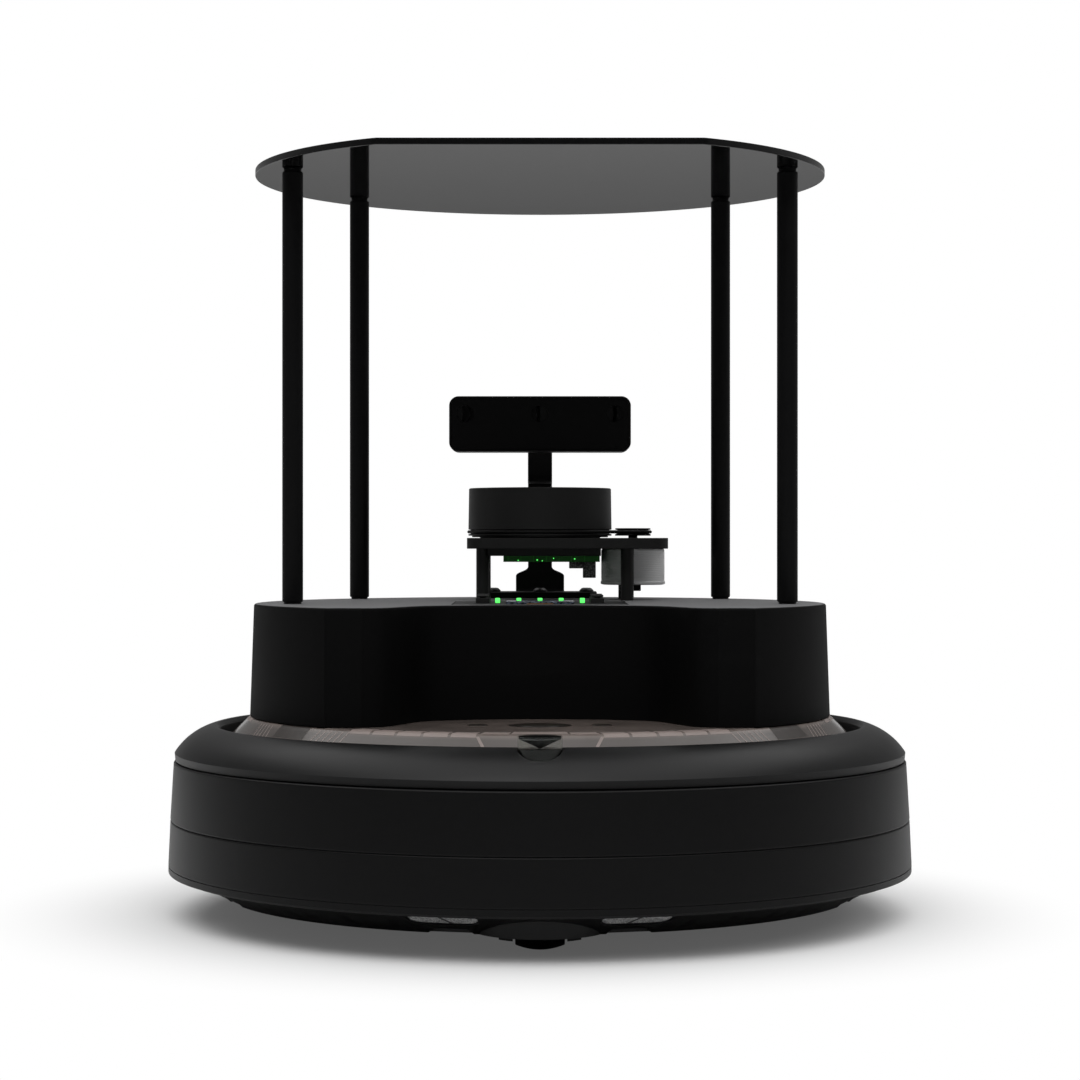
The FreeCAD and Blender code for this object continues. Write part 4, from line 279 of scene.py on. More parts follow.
def use_group(tree, group, **values):
    """Outputs of a group placed in a material with its own values."""
    node = tree.nodes.new("ShaderNodeGroup")
    node.node_tree = group
    for label, value in values.items():
        node.inputs[label].default_value = value
    return node.outputs


# Finishes

def blank_material(name, **plain):
    """Material with a Principled shader, its plain values, and its output."""
    material = bpy.data.materials.new(name)
    material.use_nodes = True
    tree = material.node_tree
    tree.nodes.clear()
    shader = add_node(tree, "ShaderNodeBsdfPrincipled", **plain)
    add_node(tree, "ShaderNodeOutputMaterial", Surface=shader.outputs[0])
    return material, tree, shader


def dress(tree, shader, colour, roughness, height=None, depth=0.0):
    """Gives a shader its colour, its roughness and a bump."""
    feed(tree, shader.inputs["Base Color"], colour)
    feed(tree, shader.inputs["Roughness"], roughness)
    if height is not None:
        bump = add_node(tree, "ShaderNodeBump", Distance=depth, Height=height)
        feed(tree, shader.inputs["Normal"], bump.outputs["Normal"])


def surface(name, colour, roughness, metallic=0.0, specular=0.5, grain=1800.0, depth=0.00003,
            mottle=0.12, blotch=22.0, smear=0.06, scuff=0.05, dust=0.0, painted_top_light=None):
    """A finish with grain, uneven tone, smears, scuffs, dust, and on request a paler colour painted
    on faces that look up, as painted light on top faces.
    """
    material, tree, shader = blank_material(name, Metallic=metallic, Specular_IOR_Level=specular)
    texture = use_group(tree, GRAIN, Scale=grain, Mottle=blotch)
    marks = use_group(tree, HANDLING)
    tone = blended(tree, texture["Tone"], tinted(colour, 1 - mottle), tinted(colour, 1 + mottle))
    shown = blended(tree, product(tree, marks["Scuff"], scuff), tone, tinted(colour, 2.5, 0.02))
    # Painted light: faces that look up blend to a paler colour, which stands in for the light that
    # falls on top faces.
    if painted_top_light:
        paler = blended(tree, texture["Height"], tinted(painted_top_light, 0.7), painted_top_light)
        shown = blended(tree, upward(tree, 0.85, 0.99), shown, paler)
    if dust:
        powder = product(tree, use_group(tree, DUST)["Dust"], dust)
        shown = blended(tree, powder, shown, DUST_COLOUR)
    worn = math_node(tree, "ADD", product(tree, marks["Smear"], smear), roughness)
    dress(tree, shader, shown, worn, texture["Height"], depth)
    return material


def faceplate_finish():
    """Smoky brown plastic with a cloudy depth; its inner flat is painted paler to offset the shade
    that the shell casts, and its rim is painted darker to offset the light that its slope catches.
    """
    material, tree, shader = blank_material("smoky_brown_plastic", Specular_IOR_Level=0.42)
    place = parts_of(tree, object_place(tree))
    squares = [product(tree, place[axis], place[axis]) for axis in "XY"]
    radius = math_node(tree, "SQRT", math_node(tree, "ADD", *squares))
    texture = use_group(tree, GRAIN, Scale=1500.0, Mottle=60.0)
    # Painted light: the inner flat is painted paler than the plastic, to offset the shell's shade
    # on it.
    tone = blended(tree, ranged(tree, radius, 0.080, 0.124), (0.205, 0.168, 0.150),
                   (0.190, 0.158, 0.143))
    # Painted shade: the sloped rim is painted darker, to offset the light that it catches.
    rim = blended(tree, ranged(tree, radius, 0.1345, 0.1365), tone, (0.100, 0.087, 0.080))
    cloud = ranged(tree, texture["Tone"], 0.35, 0.65, 0.0, 0.4)
    mottled = blended(tree, cloud, rim, (0.070, 0.056, 0.049))
    smears = product(tree, use_group(tree, HANDLING)["Smear"], 0.06)
    dress(tree, shader, mottled, math_node(tree, "ADD", smears, 0.13), texture["Height"], 0.00001)
    return material


def speckled(name, scale, pale, dark):
    """Pale specks over a dark ground, as on a woven window or a coarse moulding."""
    material, tree, shader = blank_material(name)
    weave = add_node(tree, "ShaderNodeTexVoronoi", Vector=object_place(tree), Scale=scale)
    distance = weave.outputs["Distance"]
    cells = ranged(tree, distance, 0.25, 0.7)
    dress(tree, shader, blended(tree, cells, (pale,) * 3, (dark,) * 3),
          ranged(tree, cells, 0.0, 1.0, 0.14, 0.3), distance, 0.00003)
    return material


def clear_plastic(name, tint):
    """Clear thin-walled plastic, which bends what lies behind it only a little."""
    material, tree, shader = blank_material(name, Transmission_Weight=1.0, IOR=1.12)
    texture = use_group(tree, GRAIN, Scale=400.0)
    dress(tree, shader, blended(tree, texture["Tone"], tint, tinted(tint, 1.05)),
          ranged(tree, texture["Height"], 0.3, 0.7, 0.01, 0.04))
    return material


def lit_plastic(name, colour, glow, strength):
    """Small lit part: coloured body with a slightly uneven glow."""
    material, tree, shader = blank_material(name, Emission_Strength=strength)
    texture = use_group(tree, GRAIN, Scale=700.0)
    dress(tree, shader, blended(tree, texture["Tone"], colour, tinted(colour, 0.7)), 0.3)
    feed(tree, shader.inputs["Emission Color"],
         blended(tree, texture["Height"], glow, tinted(glow, 1.2)))
    return material


def circuit_finish():
    """Solder resist over copper tracks, with plated pads."""
    material, tree, shader = blank_material("solder_resist", Specular_IOR_Level=0.2)
    place = object_place(tree)
    tracks = add_node(tree, "ShaderNodeTexBrick", Vector=place, Scale=260.0, Mortar_Size=0.06,
                      Brick_Width=1.6, Row_Height=0.5).outputs["Fac"]
    pads = add_node(tree, "ShaderNodeTexVoronoi", Vector=place, Scale=330.0, Randomness=0.35)
    dots = ranged(tree, pads.outputs["Distance"], 0.10, 0.15, 1.0, 0.0)
    thin = blended(tree, tracks, (0.010, 0.150, 0.012), (0.022, 0.280, 0.024))
    feed(tree, shader.inputs["Metallic"], product(tree, dots, 0.7))
    dress(tree, shader, blended(tree, dots, thin, (0.42, 0.40, 0.32)),
          ranged(tree, tracks, 0.0, 1.0, 0.32, 0.42), tracks, 0.00004)
    return material


def brushed_metal(name, colour, roughness, scale=(40.0, 1.0, 1.0), metallic=1.0):
    """Metal with fine drawn lines."""
    material, tree, shader = blank_material(name, Metallic=metallic)
    lines = noise_node(tree, stretched(tree, scale), 120.0, 4.0)
    dress(tree, shader, blended(tree, lines, tinted(colour, 0.85), colour),
          ranged(tree, lines, 0.3, 0.7, roughness, roughness + 0.12), lines, 0.00001)
    return material


def display_finish():
    """Dark display glass with fine pale blue streaks."""
    material, tree, shader = blank_material("display_streaks")
    pattern = noise_node(tree, stretched(tree, (0.35, 1.0, 1.0)), 1700.0, 3.0)
    streaks = ranged(tree, pattern, 0.42, 0.62)
    dress(tree, shader, blended(tree, streaks, (0.02, 0.022, 0.026), (0.15, 0.18, 0.24)),
          ranged(tree, streaks, 0.0, 1.0, 0.12, 0.30), streaks, 0.000004)
    return material


def grey(level, blue=0.0):
    """Neutral colour, a little bluer on request."""
    return (level, level, level + blue)


FINISH = {
    "base_plastic": surface("base_black_plastic", grey(0.0042, 0.0002), 0.45, grain=2200.0,
                            specular=0.28, dust=0.02),
    "bumper_plastic": surface("bumper_satin_black", grey(0.0040, 0.0002), 0.38, grain=2600.0,
                              depth=0.000012, smear=0.03, specular=0.15),
    "ring_plastic": surface("ring_satin_black", grey(0.0032, 0.0002), 0.40, grain=2400.0,
                            depth=0.00002, smear=0.03, specular=0.27),
    "faceplate_tint": faceplate_finish(),
    "clear_lens": clear_plastic("clear_lens", (0.9, 0.92, 0.9)),
    "dark_gloss": surface("gloss_black", grey(0.0025), 0.20, grain=900.0, depth=0.000004,
                          specular=0.2),
    "light_guide": surface("milky_guide", (0.30, 0.247, 0.229), 0.35, grain=1400.0,
                           depth=0.00001, mottle=0.10, smear=0.03, scuff=0.02, specular=0.35),
    "screw_steel": brushed_metal("zinc_screw", grey(0.52, 0.02), 0.32),
    "tyre_rubber": surface("tyre_rubber", grey(0.012), 0.72, grain=700.0, depth=0.00008,
                           mottle=0.3, smear=0.15, scuff=0.2, dust=0.15, specular=0.3),
    "hub_plastic": surface("hub_grey_plastic", grey(0.035, 0.002), 0.5, dust=0.1),
    "gear_case": surface("gear_case_plastic", grey(0.045, 0.002), 0.55, dust=0.1),
    "caster_plastic": surface("caster_black_plastic", grey(0.0045), 0.5, dust=0.05,
                              specular=0.2),
    "caster_wheel_plastic": surface("caster_wheel_nylon", grey(0.0035), 0.42, mottle=0.18,
                                    scuff=0.3, specular=0.15),
    "tray_plastic": surface("tray_black_plastic", grey(0.0050, 0.0002), 0.40, grain=2200.0,
                            dust=0.03, specular=0.28),
    "battery_wrap": surface("battery_blue_wrap", (0.012, 0.05, 0.18), 0.28, grain=400.0,
                            depth=0.00004),
    "circuit_green": circuit_finish(),
    "panel_dark": surface("panel_dark_resist", grey(0.006, 0.0005), 0.42, grain=900.0,
                          mottle=0.5, blotch=500.0, specular=0.25),
    "contact_metal": brushed_metal("plated_contact", (0.75, 0.58, 0.30), 0.25),
    "window_tint": speckled("speckled_window", 1500.0, 0.75, 0.10),
    "button_plastic": surface("button_brown_black", (0.020, 0.017, 0.014), 0.28, grain=1500.0,
                              depth=0.00001),
    # The shell's pale top colour is painted light on its upward faces.
    "shell_plastic": surface("shell_fine_black", grey(0.0020, 0.0001), 0.58, grain=2600.0,
                             smear=0.03, scuff=0.02, dust=0.02, specular=0.07,
                             painted_top_light=(0.235, 0.235, 0.240)),
    "ballast_steel": brushed_metal("ballast_steel", grey(0.38), 0.4),
    "port_metal": brushed_metal("port_can", grey(0.6, 0.02), 0.28),
    "display_glass": surface("camera_front_glass", grey(0.0068, 0.0001), 0.32, grain=500.0,
                             depth=0.000002, specular=0.08),
    "amber_film": surface("amber_film", (0.14, 0.060, 0.008), 0.35, grain=900.0,
                          depth=0.00001, specular=0.2),
    "led_green": lit_plastic("lit_green", (0.1, 0.8, 0.15), (0.10, 1.0, 0.13), 1.3),
    "switch_plastic": surface("switch_black", grey(0.008), 0.4),
    "key_plastic": surface("key_dark_grey", grey(0.016), 0.45, grain=1500.0, mottle=0.4,
                           blotch=400.0),
    "post_metal": surface("post_black_anodised", grey(0.0036, 0.0002), 0.38, grain=2600.0,
                          depth=0.00001, smear=0.02, specular=0.13),
    "deck_plastic": surface("deck_polished_black", grey(0.004, 0.0002), 0.035, grain=300.0,
                            depth=0.0000004, mottle=0.05, smear=0.0, scuff=0.0, dust=0.02,
                            specular=0.35),
    "black_screw": surface("black_oxide_screw", grey(0.012), 0.35, metallic=0.6, grain=1500.0),
    "scanner_plastic": surface("scanner_black", grey(0.0085), 0.46, grain=2200.0, dust=0.02,
                               specular=0.26),
    "motor_metal": brushed_metal("motor_can", grey(0.95), 0.40, (1.0, 1.0, 30.0), 0.25),
    "connector_plastic": speckled("speckled_connector", 1100.0, 0.20, 0.02),
    "belt_rubber": surface("belt_black_rubber", grey(0.004), 0.6, specular=0.2),
    "camera_metal": surface("camera_black_metal", grey(0.0038), 0.45, grain=3000.0,
                            depth=0.00002, smear=0.02, specular=0.16),
    "bracket_metal": surface("bracket_powder_coat", grey(0.0075), 0.45, grain=1400.0,
                             depth=0.00006, specular=0.2),
}
DISPLAY = display_finish()
RIM_WINDOW = surface("smoky_rim_window", (0.045, 0.038, 0.034), 0.3, mottle=0.4, blotch=300.0,
                     specular=0.3)
LEG_METAL = surface("leg_dark_grey", grey(0.012), 0.4, grain=2600.0, depth=0.00001,
                    specular=0.3)
LENS_GLASS = surface("lens_dark_glass", grey(0.0016, 0.0001), 0.28, grain=500.0,
                     depth=0.000002, specular=0.1)
SMOKED_GUIDE = surface("smoked_guide", (0.016, 0.013, 0.011), 0.3, grain=1400.0, depth=0.00001)
CONE_PLASTIC = surface("cone_grey_plastic", grey(0.032), 0.4, grain=1500.0, depth=0.00001)


# Mesh makers

def add_object(name, data):
    """Object for a mesh, a lamp or a camera, in the scene."""
    made = bpy.data.objects.new(name, data)
    SCENE.collection.objects.link(made)
    return made


def shade(mesh, sharp):
    """Smooth shading but for edges sharper than an angle in degrees."""
    mesh.shade_smooth()
    mesh.set_sharp_from_angle(angle=math.radians(sharp))


def mesh_object(name, bm, sharp):
    """Object from a bmesh in metres."""
    mesh = bpy.data.meshes.new(name)
    bm.to_mesh(mesh)
    bm.free()
    shade(mesh, sharp)
    return add_object(name, mesh)


def from_bmesh(name, bm, sharp=32.0):
    """Object from a bmesh in millimetres, smooth but for its sharp edges."""
    bmesh.ops.remove_doubles(bm, verts=bm.verts, dist=0.0005)
    bmesh.ops.recalc_face_normals(bm, faces=bm.faces)
    bmesh.ops.scale(bm, vec=(MM, MM, MM), verts=bm.verts)
    return mesh_object(name, bm, sharp)


def rounded(corners, steps=5, closed=True):
    """Outline from (radius, height, rounding) corners, with an arc at each rounded one."""
    made = []
    count = len(corners)
    for k, (x, y, size) in enumerate(corners):
        here = Vector((x, y))
        if size <= 0 or (not closed and k in (0, count - 1)):
            made.append(here)
            continue
        before = Vector(corners[k - 1][:2]) - here
        after = Vector(corners[(k + 1) % count][:2]) - here
        reach = min(size, before.length * 0.48, after.length * 0.48)
        start = here + before.normalized() * reach
        end = here + after.normalized() * reach
        for step in range(steps + 1):
            t = step / steps
            made.append(start * (1 - t) ** 2 + here * 2 * t * (1 - t) + end * t ** 2)
    return [(point.x, point.y) for point in made]


def turned(name, profile, centre=(0.0, 0.0), steps=192, start=0.0, sweep=360.0):
    """Piece turned about an upright axis from a closed (radius, height) outline."""
    bm = bmesh.new()
    whole = sweep >= 359.9
    rings = []
    for k in range(steps if whole else steps + 1):
        angle = math.radians(start + sweep * k / steps)
        rings.append([bm.verts.new((centre[0] + r * math.cos(angle),
                                    centre[1] + r * math.sin(angle), z)) for r, z in profile])
    count = len(rings)
    size = len(profile)
    for k in range(count if whole else count - 1):
        here, there = rings[k], rings[(k + 1) % count]
        for j in range(size):
            after = (j + 1) % size
            if profile[j][0] > 1e-6 or profile[after][0] > 1e-6:
                bm.faces.new([here[j], there[j], there[after], here[after]])
    if not whole:
        bm.faces.new(rings[0])
        bm.faces.new(list(reversed(rings[-1])))
    bmesh.ops.remove_doubles(bm, verts=bm.verts, dist=0.0005)
    bmesh.ops.dissolve_degenerate(bm, edges=bm.edges, dist=0.0001)
    return from_bmesh(name, bm)


def peg(name, radius, low, high, centre=(0.0, 0.0), steps=96):
    """Upright round tool between two heights."""
    return turned(name, [(0.0, low), (radius, low), (radius, high), (0.0, high)], centre, steps)


def stacked(outlines):
    """Bmesh that joins closed outlines, as (height, points), from the lowest up."""
    bm = bmesh.new()
    rings = [[bm.verts.new((x, y, height)) for x, y in points] for height, points in outlines]
    count = len(rings[0])
    for low, high in zip(rings, rings[1:]):
        for k in range(count):
            bm.faces.new((low[k], low[(k + 1) % count], high[(k + 1) % count], high[k]))
    bm.faces.new(rings[-1])
    bm.faces.new(list(reversed(rings[0])))
    return bm


def round_edges(bm, edges, size):
    """Rounds some edges of a bmesh."""
    bmesh.ops.bevel(bm, geom=edges, offset=size, segments=2, profile=0.5, affect="EDGES",
                    clamp_overlap=True)


def box_mesh(name, x_range, y_range, z_range, bevel=0.0):
    """Block between limits, with rounded edges."""
    bm = bmesh.new()
    bmesh.ops.create_cube(bm, size=1.0)
    limits = (x_range, y_range, z_range)
    for vert in bm.verts:
        vert.co = Vector([pair[0] if at < 0 else pair[1] for at, pair in zip(vert.co, limits)])
    if bevel:
        round_edges(bm, list(bm.edges), bevel)
    return from_bmesh(name, bm, 35.0)


def take_mesh(obj, mesh):
    """Gives an object a new plain mesh in place of its old one and its modifiers."""
    obj.modifiers.clear()
    old = obj.data
    obj.data = mesh
    bpy.data.meshes.remove(old)
    return obj


def add_modifier(obj, kind, **settings):
    """Adds a modifier with its settings."""
    modifier = obj.modifiers.new(kind.lower(), kind)
    for label, value in settings.items():
        setattr(modifier, label, value)


def apply_all(obj):
    """Bakes an object's modifiers into its mesh."""
    bpy.context.view_layer.update()
    graph = bpy.context.evaluated_depsgraph_get()
    return take_mesh(obj, bpy.data.meshes.new_from_object(obj.evaluated_get(graph)))


def carved(obj, *tools):
    """Cuts tools out of an object and removes the tools."""
    for tool in tools:
        add_modifier(obj, "BOOLEAN", operation="DIFFERENCE", solver="EXACT", object=tool)
    apply_all(obj)
    for tool in tools:
        bpy.data.objects.remove(tool)
    return obj


def soften_edges(obj, width, angle=35.0, sharp=40.0):
    """Rounds the sharp edges of a finished mesh."""
    add_modifier(obj, "BEVEL", width=width * MM, segments=2, limit_method="ANGLE",
                 angle_limit=math.radians(angle), harden_normals=False, use_clamp_overlap=True)
    apply_all(obj)
    shade(obj.data, sharp)
    return obj


def cad_bmesh(node):
    """Bmesh of a CAD node with its loose corners merged."""
    bm = bmesh.new()
    bm.from_mesh(CAD[node].data)
    bmesh.ops.remove_doubles(bm, verts=bm.verts, dist=0.000002)
    return bm


def clean_copy(node, name):
    """Merged, smooth-shaded copy of a CAD node's mesh."""
    bm = cad_bmesh(node)
    bmesh.ops.dissolve_limit(bm, angle_limit=math.radians(0.6), use_dissolve_boundaries=False,
                             verts=bm.verts, edges=bm.edges)
    return mesh_object(name, bm, 32.0)


def box_of(node):
    """Lowest and highest corner of a CAD node, in millimetres."""
    return [tuple(value / MM for value in corner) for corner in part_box(node)]


def islands(node):
    """Lowest and highest corner of each separate solid of a node, in millimetres."""
    bm = cad_bmesh(node)
    left = set(bm.verts)
    found = []
    while left:
        group = [left.pop()]
        for vert in group:
            for edge in vert.link_edges:
                other = edge.other_vert(vert)
                if other in left:
                    left.remove(other)
                    group.append(other)
        found.append([Vector([pick(v.co[k] for v in group) / MM for k in range(3)])
                      for pick in (min, max)])
    bm.free()
    return sorted(found, key=lambda pair: tuple(round(value, 3) for value in pair[0]))


# Geometry Nodes

def tree_start(name, sockets):
    """Geometry Nodes tree with a geometry and named inputs, and its two ends."""
    tree = bpy.data.node_groups.new(name, "GeometryNodeTree")
    tree.is_modifier = True
    for label, kind in (("Geometry", "Geometry"), *sockets):
        tree.interface.new_socket(label, in_out="INPUT", socket_type="NodeSocket" + kind)
    tree.interface.new_socket("Geometry", in_out="OUTPUT", socket_type="NodeSocketGeometry")
    given = tree.nodes.new("NodeGroupInput")
    return tree, given.outputs, tree.nodes.new("NodeGroupOutput").inputs


def tree_end(tree, points, piece, angle, finish, made):
    """The piece on each point, turned about the upright axis, realized and given its material."""
    turn = add_node(tree, "ShaderNodeCombineXYZ", Z=angle)
    rotation = add_node(tree, "FunctionNodeEulerToRotation", Euler=turn.outputs["Vector"])
    copies = add_node(tree, "GeometryNodeInstanceOnPoints", Points=points, Instance=piece,
                      Rotation=rotation.outputs["Rotation"])
    real = add_node(tree, "GeometryNodeRealizeInstances", Geometry=copies.outputs["Instances"])
    paint = add_node(tree, "GeometryNodeSetMaterial", Geometry=real.outputs["Geometry"],
                     Material=finish)
    feed(tree, made["Geometry"], paint.outputs["Geometry"])
    return tree


def ring_tree():
    """Repeats a piece round the upright axis: Count, First Angle and Step Angle in radians."""
    tree, given, made = tree_start("repeat_round_axis", (
        ("Count", "Int"), ("First Angle", "Float"), ("Step Angle", "Float"),
        ("Finish", "Material")))
    line = add_node(tree, "GeometryNodeMeshLine", Offset=(0.0, 0.0, 0.0), Count=given["Count"])
    index = tree.nodes.new("GeometryNodeInputIndex").outputs["Index"]
    steps = product(tree, index, given["Step Angle"])
    angle = math_node(tree, "ADD", steps, given["First Angle"])
    return tree_end(tree, line.outputs["Mesh"], given["Geometry"], angle, given["Finish"], made)


def places_tree():
    """Puts a piece on each point of the geometry, each turned by its own fixed random angle."""
    tree, given, made = tree_start("piece_on_places", (
        ("Piece", "Object"), ("Seed", "Int"), ("Finish", "Material")))
    source = add_node(tree, "GeometryNodeObjectInfo", Object=given["Piece"])
    angle = add_node(tree, "FunctionNodeRandomValue", Seed=given["Seed"])
    angle.data_type = "FLOAT"
    limits = [socket for socket in angle.inputs if socket.type == "VALUE"]
    limits[0].default_value = 0.0
    limits[1].default_value = math.tau
    turn = next(socket for socket in angle.outputs if socket.type == "VALUE")
    return tree_end(tree, given["Geometry"], source.outputs["Geometry"], turn, given["Finish"],
                    made)


RING_TREE = ring_tree()
PLACES_TREE = places_tree()


def through_tree(obj, tree, values):
    """Runs an object through a tree with its named inputs set; the result is a plain mesh."""
    modifier = obj.modifiers.new("nodes", "NODES")
    modifier.node_group = tree
    for item in tree.interface.items_tree:
        if item.name in values:
            modifier[item.identifier] = values[item.name]
    graph = bpy.context.evaluated_depsgraph_get()
    graph.update()
    return take_mesh(obj, bpy.data.meshes.new_from_object(
        obj.evaluated_get(graph), preserve_all_data_layers=True, depsgraph=graph))


def repeated(piece, count, first, step, finish):
    """Piece repeated round the upright axis at the origin; angles in degrees."""
    return through_tree(piece, RING_TREE, {"Count": count, "First Angle": math.radians(first),
                                           "Step Angle": math.radians(step), "Finish": finish})


def on_places(name, piece, places, finish):
    """Copies of a piece at places in millimetres."""
    mesh = bpy.data.meshes.new(name)
    mesh.from_pydata([(x * MM, y * MM, z * MM) for x, y, z in places], [], [])
    made = through_tree(add_object(name, mesh), PLACES_TREE,
                        {"Piece": piece, "Seed": PLACES_SEED, "Finish": finish})
    bpy.data.objects.remove(piece)
    return made


def extra_piece(obj, node, material=None):
    """Gives a piece its node's body and the finish of its node's slot, or a given material; the
    node isn't hidden for it.
    """
    obj.data.materials.clear()
    obj.data.materials.append(material or FINISH[SLOT_OF[node]])
    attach(obj, BODY_OF[node])


def finish_piece(obj, node, material=None):
    """Evens a piece's shading, dresses it, and lets it stand for its node."""
    add_modifier(obj, "WEIGHTED_NORMAL", mode="FACE_AREA", weight=50, keep_sharp=True)
    extra_piece(apply_all(obj), node, material)
    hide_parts(node)


# Bumper, ring and faceplate

def bumper_pieces():
    """Skirt and dark window of the bumper, round-edged at their seam."""
    skirt = rounded([
        (166.0, 20.2, 0.3), (170.8, 20.2, 0.35), (170.8, 23.1, 0.08), (170.35, 23.15, 0.0),
        (170.35, 23.4, 0.0), (170.78, 23.45, 0.08), (170.8, 24.0, 0.2), (169.9, 43.4, 0.35),
        (169.4, 43.9, 0.25), (167.5, 43.9, 0.2), (168.4, 26.4, 0.5), (166.0, 22.6, 0.3)])
    window = rounded([
        (167.5, 43.9, 0.2), (169.4, 43.9, 0.25), (169.9, 44.4, 0.35), (168.4, 69.8, 0.5),
        (167.9, 70.3, 0.4), (166.0, 70.3, 0.3)])
    for node, profile in (("bumper_skirt", skirt), ("bumper_window", window)):
        made = turned(node + "_moulding", profile, (0.0, -3.1), 256, -179.0, 178.0)
        finish_piece(made, node)


def arc_through(a, b, c, parts):
    """Points on the arc from a to c that passes through b."""
    (ax, ay), (bx, by), (cx, cy) = Vector(a), Vector(b), Vector(c)
    aa, bb, cc = ax * ax + ay * ay, bx * bx + by * by, cx * cx + cy * cy
    d = 2 * (ax * (by - cy) + bx * (cy - ay) + cx * (ay - by))
    x = (aa * (by - cy) + bb * (cy - ay) + cc * (ay - by)) / d
    y = (aa * (cx - bx) + bb * (ax - cx) + cc * (bx - ax)) / d
    radius = (Vector(a) - Vector((x, y))).length
    first = math.atan2(ay - y, ax - x)
    sweep = math.atan2(cy - y, cx - x) - first
    return [(x + radius * math.cos(first + sweep * k / parts),
             y + radius * math.sin(first + sweep * k / parts)) for k in range(parts + 1)]


def ring_profile():
    """Trim ring's outline with its round shoulder."""
    shoulder = arc_through((RIM_RADIUS, RIM_Z + LIP_HEIGHT), (RIM_RADIUS - 5.4, RIM_Z + 9.4),
                           (CREST_RADIUS, CREST_Z), 18)
    wall = RIM_RADIUS - RING_WALL
    return shoulder + rounded([
        (CREST_RADIUS - 1.6, CREST_Z, 0.8), (RING_INNER, CREST_Z - 1.6, 0.8),
        (RING_INNER, LEDGE_Z, 0.0), (LEDGE_RADIUS, LEDGE_Z, 0.0),
        (LEDGE_RADIUS, LEDGE_Z - 2.5, 0.0), (RING_INNER, LEDGE_Z - 2.5, 0.0),
        (wall, RIM_Z + 2.2, 0.0), (wall, RIM_Z, 0.0), (RIM_RADIUS - 0.3, RIM_Z, 0.0)],
        closed=False)


def trim_ring_piece():
    """Trim ring with the receiver's round seat cut in its front."""
    ring = turned("trim_ring_moulding", ring_profile(), steps=288)
    place = (0.0, RECEIVER_Y)
    carved(ring, peg("seat_tool", RECEIVER_RADIUS + 0.4, LEDGE_Z + 1.6, 120.0, place),
           peg("bore_tool", RECEIVER_RADIUS + 0.05, LEDGE_Z, 121.0, place))
    finish_piece(soften_edges(ring, 0.2, 40.0, 9.0), "trim_ring")


def faceplate_piece():
    """Faceplate with its button holes."""
    profile = rounded([
        (0.0, SHELL_LOW, 0.0), (PLATE_FLAT, SHELL_LOW, 1.4), (PLATE_RADIUS, PLATE_SLOPE_Z, 1.0),
        (PLATE_RADIUS, LEDGE_Z, 0.2), (139.7, LEDGE_Z, 0.2), (139.7, 81.2, 0.4),
        (132.5, 88.0, 1.0), (0.0, 88.0, 0.0)])
    plate = turned("faceplate_moulding", profile, steps=256)
    holes = [peg("hole_tool", radius, 70.0, 100.0, (x, BUTTON_Y), steps)
             for x, radius, steps in ((0.0, 13.95, 96), (-BUTTON_X, 4.95, 64),
                                      (BUTTON_X, 4.95, 64))]
    finish_piece(soften_edges(carved(plate, *holes), 0.25, 45.0), "faceplate")


def faceplate_point(angle, run, lift):
    """Point on the faceplate's rim at an angle from the front.

    The run goes out from the end of its flat and down its slope.
    """
    flat = PLATE_FLAT - PLATE_EASE
    out, high = Vector((1.0, 0.0, 0.0)), Vector((0.0, 0.0, 1.0))
    slope = Vector((PLATE_RADIUS - PLATE_FLAT, 0.0, PLATE_SLOPE_Z - SHELL_LOW)).normalized()
    up = Vector((-slope.z, 0.0, slope.x))
    if run < 0:
        place = Vector((flat + run, 0.0, SHELL_LOW + lift))
    else:
        eased = min(run / (2 * PLATE_EASE), 1.0)
        past = PLATE_EASE * eased ** 2 + max(run - 2 * PLATE_EASE, 0.0)
        place = (Vector((flat, 0.0, SHELL_LOW)) + out * PLATE_EASE * (2 * eased - eased ** 2)
                 + slope * past + high.lerp(up, eased) * lift)
    turn = math.radians(angle)
    return Vector((place.x * math.sin(turn), -place.x * math.cos(turn), place.z))


def rim_strip(name, first, last, runs, tilt=0.0, across=8):
    """Thin strip on the faceplate's rim between two angles; tilt slants it down the slope."""
    bm = bmesh.new()
    rows = len(runs)
    top, under = [
        [[bm.verts.new(faceplate_point(first + (last - first) * k / across
                                       + tilt * j / (rows - 1), run, lift))
          for k in range(across + 1)] for j, run in enumerate(runs)]
        for lift in (STRIP_LIFT, -STRIP_SINK)]
    for grid in (top, under):
        for low, high in zip(grid, grid[1:]):
            for k in range(across):
                bm.faces.new((low[k], low[k + 1], high[k + 1], high[k]))
    for row in (0, rows - 1):
        for k in range(across):
            bm.faces.new((top[row][k], top[row][k + 1], under[row][k + 1], under[row][k]))
    for column in (0, across):
        for j in range(rows - 1):
            bm.faces.new((top[j][column], top[j + 1][column], under[j + 1][column],
                          under[j][column]))
    return from_bmesh(name, bm, 30.0)


def guide_piece(strip, count=1, first=0.0, step=0.0):
    """Milky strip of the faceplate's rim, repeated round it when asked."""
    guide = FINISH["light_guide"]
    if count > 1:
        repeated(strip, count, first, step, guide)
    extra_piece(strip, "light_ring", guide)


